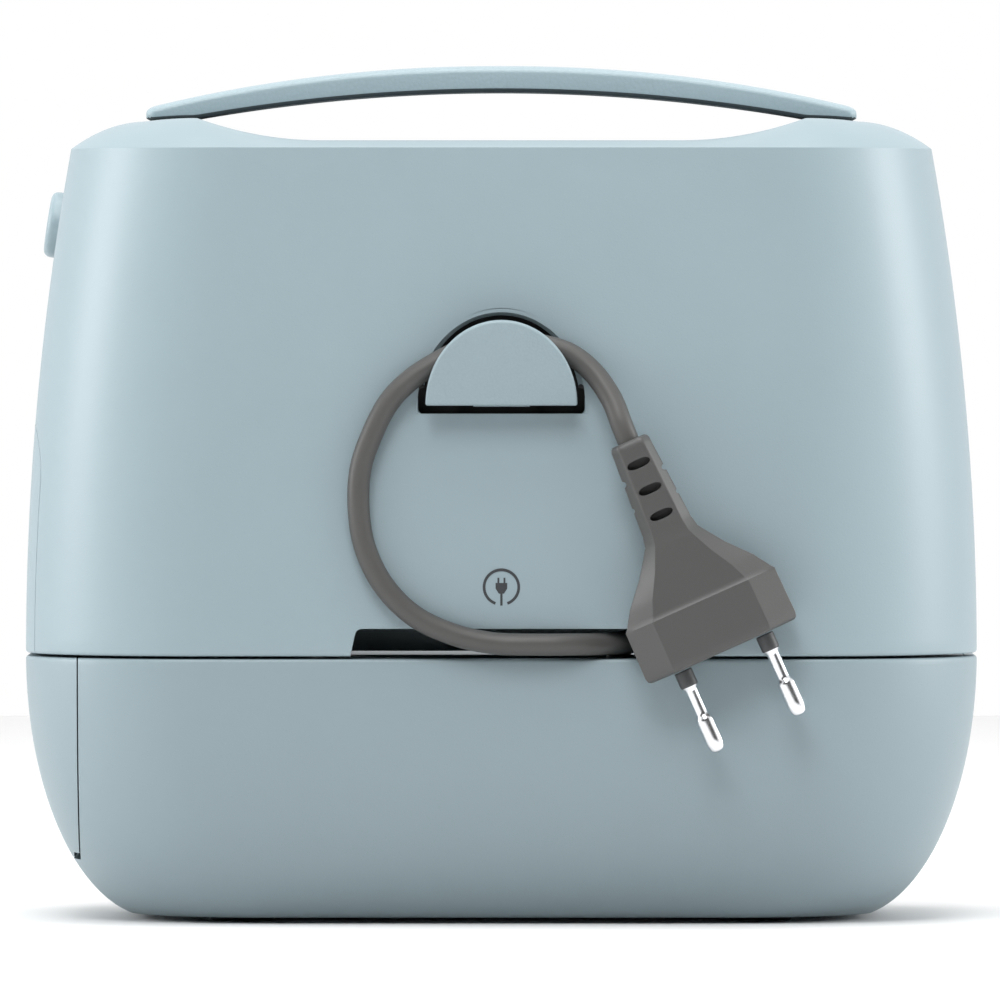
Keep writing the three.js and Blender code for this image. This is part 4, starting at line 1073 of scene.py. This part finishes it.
class SEWING_OT_front_housing(bpy.types.Operator):
    """Arm, head and column, with the sewing bay left open"""

    bl_idname = "sewing.front_housing"
    bl_label = "Front Housing"

    def execute(self, context):
        outer = upper_form("front_shell", 0, SEAM_HIGH)
        half = box("half", -FAR, FAR, -FAR, SPLIT_Y - FIT / 2, SEAM_HIGH - 2, FAR)
        common(outer, half)
        y1 = SPLIT_Y + 5
        inner = upper_form("inner", WALL, SEAM_HIGH - 1)
        cut(inner, self.bay("bay", WALL, y1))
        cut(outer, self.bay("bay", 0, y1))
        cut(outer, inner, hatch_cutter(FIT), face_cutter(FIT), *stud_holes())
        hole = lambda x, z, r: rod("hole", (x, -FAR, z), (x, -40, z), r, 48)
        dials = [("stitch_dial", 3.4), ("length_dial", 3.4), ("tension_dial", 3.4)]
        holes = [hole((low(n, 0) + high(n, 0)) / 2, (low(n, 2) + high(n, 2)) / 2, r) for n, r in dials]
        holes += [hole((low(n, 0) + high(n, 0)) / 2, (low(n, 2) + high(n, 2)) / 2, 5.4)
                  for n in ("start_button", "reverse_button")]
        slot_x = (low("take_up_lever", 0) + high("take_up_lever", 0)) / 2
        holes += [
            rod("knob", KNOB_AT - KNOB_DIR * 12, KNOB_AT + KNOB_DIR * 8, KNOB_R + FIT),
            box("slot", slot_x - 2.4, slot_x + 2.4, -FAR, -45, 120, 158),
            rod("bar", (NEEDLE_X, AXIS_Y, 90), (NEEDLE_X, AXIS_Y, 110), 5),
            rod("bar", (NEEDLE_X, AXIS_Y + 14, 90), (NEEDLE_X, AXIS_Y + 14, 110), 4.4),
            box("lever", NEEDLE_X + 5.5, NEEDLE_X + 12, AXIS_Y + 14, SPLIT_Y + 3, 98, 112),
            box("lamp", -44, -30, -46, -30, 110, 125),
            rod("spool", (22, -42, 150), (22, -42, 190), 3.5, 40),
        ]
        cut(outer, *holes)
        finish(smooth(outer), "body", paint("shell"), "front_housing")
        cover = upper_skin("head_cover")
        common(cover, face_cutter(0))
        finish(smooth(cover), "face_cover", paint("shell"), "face_cover")
        return {"FINISHED"}

    @staticmethod
    def bay(name, wall, y1):
        r = 5 + wall
        points = [(-FAR, 0), (BAY_RIGHT + wall, 0), (BAY_RIGHT + wall, BAY_TOP + wall),
                  (HEAD_RIGHT - wall, BAY_TOP + wall), (HEAD_RIGHT - wall, HEAD_BOTTOM + wall),
                  (-FAR, HEAD_BOTTOM + wall)]
        return slab(name, soft_corners(points, r, 8), -FAR, y1)


class SEWING_OT_hatch(bpy.types.Operator):
    """Hatch in the right end, over the niche for spare bobbins"""

    bl_idname = "sewing.hatch"
    bl_label = "Side Hatch"

    def execute(self, context):
        hatch = upper_skin("side_door")
        common(hatch, hatch_cutter(0))
        common(hatch, box("keep", 80, FAR, -FAR, FAR, SEAM_HIGH, FAR))
        finish(smooth(hatch), "side_hatch", paint("shell"), "side_hatch")
        return {"FINISHED"}


class SEWING_OT_base(bpy.types.Operator):
    """Rounded base, drawer, bed and feet"""

    bl_idname = "sewing.base"
    bl_label = "Base"

    def execute(self, context):
        shell = lower_form("base_tub", 0, FOOT_H, SEAM_LOW)
        cut(shell, lower_form("inner", WALL, FOOT_H + WALL, SEAM_LOW + 1))
        drawer_in = low("accessory_drawer", 0)
        half = 31
        cover0, cover1 = low("bobbin_cover", 0), high("bobbin_cover", 0)
        deck = low("deck_plate", 2)
        edge = DRAWER_Z
        cut(shell,
            box("end", DRAWER_X - FIT, FAR, -FAR, FAR, edge - FIT, FAR),
            box("tray", drawer_in - 3, FAR, -half - 1, half + 1, edge + 1.5, 53),
            box("cover", cover0 - FIT, cover1 + FIT, -FAR, -44, deck - FIT, FAR))
        finish(smooth(shell), "body", paint("base"), "base_shell")

        front = lower_form("drawer", 0, FOOT_H, SEAM_LOW)
        common(front, box("end", DRAWER_X, FAR, -FAR, FAR, DRAWER_Z, FAR))
        cut(front, box("nick", DRAWER_X - 1, DRAWER_X + 1.2, -FAR, FAR, DRAWER_Z - 1, DRAWER_Z + 1.2))
        tray = box("tray", drawer_in, DRAWER_X + 3, -half, half, edge + 2.5, 50)
        common(tray, lower_form("limit", 0.2, FOOT_H, SEAM_LOW - 1))
        cut(tray, box("room", drawer_in + 1.6, DRAWER_X - 1, -half + 1.6, half - 1.6, edge + 4.3, 60))
        join(front, tray)
        finish(smooth(front), "drawer", paint("base"), "accessory_drawer")

        cover = lower_form("bobbin_slide", 0, FOOT_H, SEAM_LOW)
        common(cover, box("keep", cover0, cover1, -FAR, high("bobbin_cover", 1), deck, FAR))
        finish(smooth(cover), "bobbin_cover", paint("shell"), "bobbin_cover")

        for i in range(1, 5):
            node = f"foot_{i}"
            x, y = (low(node, 0) + high(node, 0)) / 2, (low(node, 1) + high(node, 1)) / 2
            top = high(node, 2)
            profile = rounded([(0.01, 0), (6.5, 0), (6.9, 0.4), (6.9, top), (0.01, top)], 0.2)
            foot = turned(f"rubber_foot_{i}", profile, (x, y, 0), (0, 0, 1), 48)
            finish(smooth(foot), "body", paint("rubber"), node)
        return {"FINISHED"}


# ---------------------------------------------------------------------------------------------
# Strap, hook and print
# ---------------------------------------------------------------------------------------------
class SEWING_OT_strap(bpy.types.Operator):
    """Arched strap with a pebbled skin, thick in the middle and thin at the tips"""

    bl_idname = "sewing.strap"
    bl_label = "Strap Handle"

    def execute(self, context):
        s = sizes()
        edge, swell = s.strap_edge / MM, s.strap_swell / MM
        half, half_w = high("handle_strap", 0), high("handle_strap", 1)
        top, seat = high("handle_strap", 2), low("handle_strap", 2)
        arch = top - 5.8
        rings, steps = [], 96
        for i in range(steps + 1):
            x = -half * math.cos(math.pi * i / steps)
            u = abs(x) / half
            tip = math.sqrt(max(0, 1 - ((abs(x) - (half - 2)) / 2) ** 2)) if abs(x) > half - 2 else 1
            z1 = top - 9.1 * u ** 2.1
            v = min(1, abs(x) / HORN_IN)
            z0 = arch - (arch - seat) * v * v
            if abs(x) > HORN_IN:
                z0 = max(ridge(x) + 0.15, seat - 0.6)
            wide, mid = half_w - 2.5 * (1 - tip), (z0 + z1) / 2
            thick = (z1 - z0) / 2 * (0.5 + 0.5 * tip)
            rings.append(self.section(x, wide, mid, thick, min(edge, thick * 0.9), swell))
        strap = skin("strap", rings)
        finish(smooth(strap, 40), "body", paint("strap"), "handle_strap")
        # The downward-facing faces get the near-black painted shade that stands in for the shadow under the
        # strap.
        strap.data.materials.append(paint("strap_painted_shade"))
        for face in strap.data.polygons:
            face.material_index = 1 if face.normal.z < -0.3 else 0
        return {"FINISHED"}

    @staticmethod
    def section(x, wide, mid, thick, edge, swell, arc=6):
        points = []
        for cy, cz, start in ((wide - edge, thick - edge, 0), (-wide + edge, thick - edge, 90),
                              (-wide + edge, -thick + edge, 180), (wide - edge, -thick + edge, 270)):
            for k in range(arc + 1):
                t = math.radians(start + 90 * k / arc)
                points.append((cy + edge * math.cos(t), cz + edge * math.sin(t)))
            if start in (0, 180):
                s = 1 if start == 0 else -1
                points += [(s * (wide - edge) * (1 - k / 5), s * thick) for k in range(1, 10)]
        dome = lambda y, z: z - (swell * (y / wide) ** 2 if z > 0 else 0)
        return [(x, y, mid + dome(y, z)) for y, z in points]


class SEWING_OT_hook(bpy.types.Operator):
    """Half-round cord hook in its recess"""

    bl_idname = "sewing.hook"
    bl_label = "Cord Hook"

    def execute(self, context):
        points = soft_corners(half_disc(FLAP_W / 2, FLAP_H), 1.2)
        plate = slab("hook_flap", points, 0, FLAP_T, edge=sizes().flap_edge / MM, steps=5)
        turn = Matrix.Rotation(math.radians(-FLAP_TILT), 4, "X")
        plate.data.transform(Matrix.Translation(Vector((0, FLAP_OUT, FLAP_Z)) * MM) @ turn)
        y, z = FLAP_OUT - 5, FLAP_Z + 2.6
        arm = box("arm", -6, 6, y, FLAP_OUT + 1.4, z - 2.2, z + 2.2)
        join(arm, rod("barrel", (-6, y, z), (6, y, z), 3.2, 40))
        cut(arm, rod("pin", (-9, y, z), (9, y, z), 1.95, 32))
        join(plate, arm)
        finish(smooth(plate, 30), "cord_hook", paint("hook"), "cord_hook_flap", slot="shell")

        back = low("hook_cup", 1)
        cup = upper_form("hook_cup_wall", -0.2, SEAM_HIGH)
        common(cup, recess("outer", 2.05, back, FAR))
        cut(cup, box("foot", -40, 40, back_at(z) - WALL - 0.3, FAR, FLAP_Z - 9, FLAP_Z - 2.0))
        cut(cup, recess("room", 0.6, back + 1.2, FAR, lower=1.6), recess("slope", (0.6, 1.8), y - 1, y + 1.2))
        lugs = [box("lug", min(s * 7, s * 9.5), max(s * 7, s * 9.5), back + 1, y + 1.9, FLAP_Z + 0.3, z + 2.6)
                for s in (-1, 1)]
        join(cup, *lugs)
        cut(cup, rod("pin", (-20, y, z), (20, y, z), 1.65, 32))
        finish(smooth(cup), "body", paint("shell"), "hook_cup")
        # Faces inside the recess get the near-black painted shade; the rim keeps the housing colour.
        cup.data.materials.append(paint("well"))
        for face in cup.data.polygons:
            middle = face.center / MM
            inside = middle.y < back_at(middle.z) - 0.85
            face.material_index = 1 if inside else 0
        return {"FINISHED"}


class SEWING_OT_mark(bpy.types.Operator):
    """Printed sign for the cord's place: a plug in an open ring"""

    bl_idname = "sewing.mark"
    bl_label = "Printed Mark"

    def execute(self, context):
        cx, cz, r, w = 0, 72.6, 3.7, 0.3
        y = back_at(cz)
        y0, y1 = y - 0.12, y + 0.05

        def arc(start, end, steps=72):
            ts = [math.radians(start + (end - start) * i / steps) for i in range(steps + 1)]
            outer = [(cx - (r + w) * math.cos(t), cz + (r + w) * math.sin(t)) for t in ts]
            return outer + [(cx - (r - w) * math.cos(t), cz + (r - w) * math.sin(t)) for t in reversed(ts)]

        at = lambda pts: [(cx + a, cz + b) for a, b in pts]
        shapes = [
            arc(-70, 250),
            at([(-0.25, -3.95), (0.25, -3.95), (0.25, -1.3), (-0.25, -1.3)]),
            at([(-1.25, 0.9), (-1.25, -0.3), (-0.55, -1.4), (0.55, -1.4), (1.25, -0.3), (1.25, 0.9)]),
            at([(-0.85, 0.8), (-0.45, 0.8), (-0.45, 2.0), (-0.85, 2.0)]),
            at([(0.45, 0.8), (0.85, 0.8), (0.85, 2.0), (0.45, 2.0)]),
        ]
        mark = slab("cord_mark", shapes[0], y0, y1)
        join(mark, *[slab("bit", s, y0, y1) for s in shapes[1:]])
        finish(smooth(mark), "body", paint("print"), slot="dark")
        return {"FINISHED"}


# ---------------------------------------------------------------------------------------------
# Knob, dials and buttons
# ---------------------------------------------------------------------------------------------
class SEWING_OT_controls(bpy.types.Operator):
    """Handwheel knob, three front dials, two buttons and the spool pin"""

    bl_idname = "sewing.controls"
    bl_label = "Controls"

    def execute(self, context):
        profile = rounded([(0.01, -28), (3, -28), (3, -4), (KNOB_R, -4), (KNOB_R, KNOB_PROUD),
                           (0.01, KNOB_PROUD)], 1.8, 8)
        knob = smooth(turned("handwheel", profile, KNOB_AT, KNOB_DIR, 96), 40)
        finish(knob, "handwheel", paint("shell"), "handwheel_knob")
        reach = -low("stitch_dial", 1)
        for node in ("stitch_dial", "length_dial", "tension_dial"):
            x, z = (low(node, 0) + high(node, 0)) / 2, (low(node, 2) + high(node, 2)) / 2
            r = (high(node, 0) - low(node, 0)) / 2
            inner = high(node, 1)
            face = -back_at(z - r) - FIT
            long, stem = reach + inner, inner - face
            core = r - 0.45
            profile = rounded([(0.01, 0), (2.9, 0), (2.9, stem), (core, stem), (core, long),
                               (core - 1.6, long), (core - 2.2, long - 0.7), (0.01, long - 0.7)], 0.5, 5)
            dial = turned(node + "_cap", profile, (x, inner, z), (0, -1, 0), 96)
            line = box("line", x - 0.5, x + 0.5, -reach - 1, -reach + 1.1, z + core * 0.35, z + core - 0.7)
            finish(smooth(cut(dial, line), 32), node, paint("dark"), node)
            ribs = TREES["ribs"].grow(node + "_ribs", count=round(sizes().knob_ribs * r / 12),
                                      radius=core * MM, length=(reach + face - 1.6) * MM, rib=0.45 * MM,
                                      middle=Vector((x, (face - reach) / 2 - 0.1, z)) * MM,
                                      turn=(math.pi / 2, 0.0, 0.0), material=paint("dark"))
            finish(smooth(ribs, 60), node, paint("dark"), slot="dark")
            marks = TREES["marks"].grow(node + "_marks", count=12, radius=(r + 2.6) * MM,
                                        middle=Vector((x, 0, z)) * MM, turn=(math.pi / 2, 0.0, 0.0),
                                        mark=(1.5 * MM, 0.35 * MM, 0.35 * MM), material=paint("print"))
            for vert in marks.data.vertices:
                vert.co.y += (-back_at(vert.co.z / MM) + 0.1) * MM
            finish(marks, "body", paint("print"), slot="dark")
        for node in ("start_button", "reverse_button"):
            x, z = (low(node, 0) + high(node, 0)) / 2, (low(node, 2) + high(node, 2)) / 2
            profile = rounded([(0.01, 0), (6.4, 0), (6.4, 1.5), (5, 1.5), (5, 9.2), (4, 9.2), (2.6, 8.6),
                               (0.01, 8.5)], 0.7, 5)
            cap = turned(node + "_cap", profile, (x, high(node, 1), z), (0, -1, 0), 72)
            finish(smooth(cap, 32), node, paint("panel"), node)
        top = high("spool_pin", 2)
        profile = rounded([(0.01, 0), (2.6, 0), (2.6, 24), (3.2, 25), (3.2, 30), (0.01, 30)], 0.6, 4)
        pin = turned("spool_rod", profile, (22, -42, top - 30), (0, 0, 1), 48)
        finish(smooth(pin, 40), "spool_pin", paint("dark"), "spool_pin")
        return {"FINISHED"}


# ---------------------------------------------------------------------------------------------
# Works
# ---------------------------------------------------------------------------------------------
EASED = {
    "take_up_lever": ("take_up", 0.3), "needle_bar": ("needle_bar", 0.25),
    "presser_bar": ("presser", 0.25), "presser_lifter": ("lifter", 0.5), "bar_guide": ("body", 0.4),
    "arm_frame": ("body", 0.6), "base_frame": ("body", 0.6), "crank_disc": ("upper_drive", 0.3),
    "needle_plate": ("body", 0.2), "deck_plate": ("body", 0.25), "bay_panel": ("body", 0.2),
    "control_board": ("body", 0.1), "lamp_lens": ("body", 0.4), "hatch_niche": ("body", 0.4),
    "motor": ("body", 0.8), "handle_stud_1": ("body", 0.3), "handle_stud_2": ("body", 0.3),
    "feed_dog": ("feed", 0.12), "cord_well": ("body", 0.2), "upper_shaft": ("upper_drive", 0.2),
    "belt_wheel": ("upper_drive", 0.25), "lower_shaft": ("lower_drive", 0.2), "rotary_hook": ("hook", 0.2),
    "bobbin": ("bobbin", 0.2), "spare_bobbin_1": ("body", 0.2), "spare_bobbin_2": ("body", 0.2),
    "motor_pulley": ("motor_rotor", 0.2), "timing_belt": ("body", 0.15), "drive_belt": ("body", 0.15),
}


class SEWING_OT_works(bpy.types.Operator):
    """Rods, levers, frames and plates of the drive, with eased edges"""

    bl_idname = "sewing.works"
    bl_label = "Works"

    def execute(self, context):
        for node, (body, width) in EASED.items():
            part = copy_of(NODES[node], node + "_eased")
            part.parent = None
            for key in list(part.keys()):
                del part[key]
            bm = bmesh.new()
            bm.from_mesh(part.data)
            bmesh.ops.remove_doubles(bm, verts=bm.verts, dist=2e-6)
            bmesh.ops.dissolve_limit(bm, angle_limit=math.radians(1), use_dissolve_boundaries=False,
                                     verts=bm.verts, edges=bm.edges)
            bm.to_mesh(part.data)
            bm.free()
            mod = part.modifiers.new("ease", "BEVEL")
            mod.width, mod.segments, mod.limit_method = width * MM, 3, "ANGLE"
            mod.angle_limit = math.radians(40)
            mod.harden_normals = False
            freeze(part)
            finish(smooth(part, 35), body, paint(slot_for(node)), node)
        return {"FINISHED"}


class SEWING_OT_spring(bpy.types.Operator):
    """Presser spring and feed teeth"""

    bl_idname = "sewing.spring"
    bl_label = "Spring And Teeth"

    def execute(self, context):
        lo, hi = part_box("presser_spring")
        middle = Vector(((lo[0] + hi[0]) / 2, (lo[1] + hi[1]) / 2, lo[2] + 0.4 * MM))
        coil = TREES["spring"].grow("spring_wire", turns=float(sizes().spring_turns), radius=3.9 * MM,
                                    height=hi[2] - lo[2] - 0.9 * MM, wire=0.45 * MM, middle=middle,
                                    material=paint("steel"))
        finish(smooth(coil, 60), "body", paint("steel"), "presser_spring")
        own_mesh(coil)
        x, y, z = NEEDLE_X, AXIS_Y, high("feed_dog", 2)
        for i, dx in enumerate((-4.0, 4.0)):
            teeth = TREES["row"].grow(f"feed_teeth_{i + 1}", count=8, step=Vector((0, 0.9, 0)) * MM,
                                      first=Vector((x + dx, y - 1.7, z - 0.1)) * MM,
                                      block=Vector((1.7, 0.45, 0.5)) * MM, material=paint("steel"))
            finish(teeth, "feed", paint("steel"), slot="steel")
        return {"FINISHED"}


STEPS = [
    SEWING_OT_stage, SEWING_OT_finishes, SEWING_OT_plug, SEWING_OT_cord, SEWING_OT_back_housing,
    SEWING_OT_front_housing, SEWING_OT_hatch, SEWING_OT_base, SEWING_OT_strap, SEWING_OT_hook, SEWING_OT_mark,
    SEWING_OT_controls, SEWING_OT_works, SEWING_OT_spring,
]


class SEWING_PT_panel(bpy.types.Panel):
    """Lists every step of the sewing machine"""

    bl_idname = "SEWING_PT_panel"
    bl_label = "Sewing Machine"
    bl_space_type = "VIEW_3D"
    bl_region_type = "UI"
    bl_category = "Sewing Machine"

    def draw(self, context):
        for group in (context.scene.sewing_sizes, context.scene.sewing_colors):
            for key in group.bl_rna.properties.keys():
                if key not in ("rna_type", "name"):
                    self.layout.prop(group, key)
        for step in STEPS:
            self.layout.operator(step.bl_idname)


CLASSES = [SewingSizes, SewingColors, *STEPS, SEWING_PT_panel]


def register():
    for cls in CLASSES:
        bpy.utils.register_class(cls)
    bpy.types.Scene.sewing_sizes = PointerProperty(type=SewingSizes)
    bpy.types.Scene.sewing_colors = PointerProperty(type=SewingColors)


def unregister():
    del bpy.types.Scene.sewing_colors
    del bpy.types.Scene.sewing_sizes
    for cls in reversed(CLASSES):
        bpy.utils.unregister_class(cls)


def main():
    register()
    for step in STEPS:
        area, name = step.bl_idname.split(".")
        getattr(getattr(bpy.ops, area), name)()


if __name__ == "__main__":
    main()
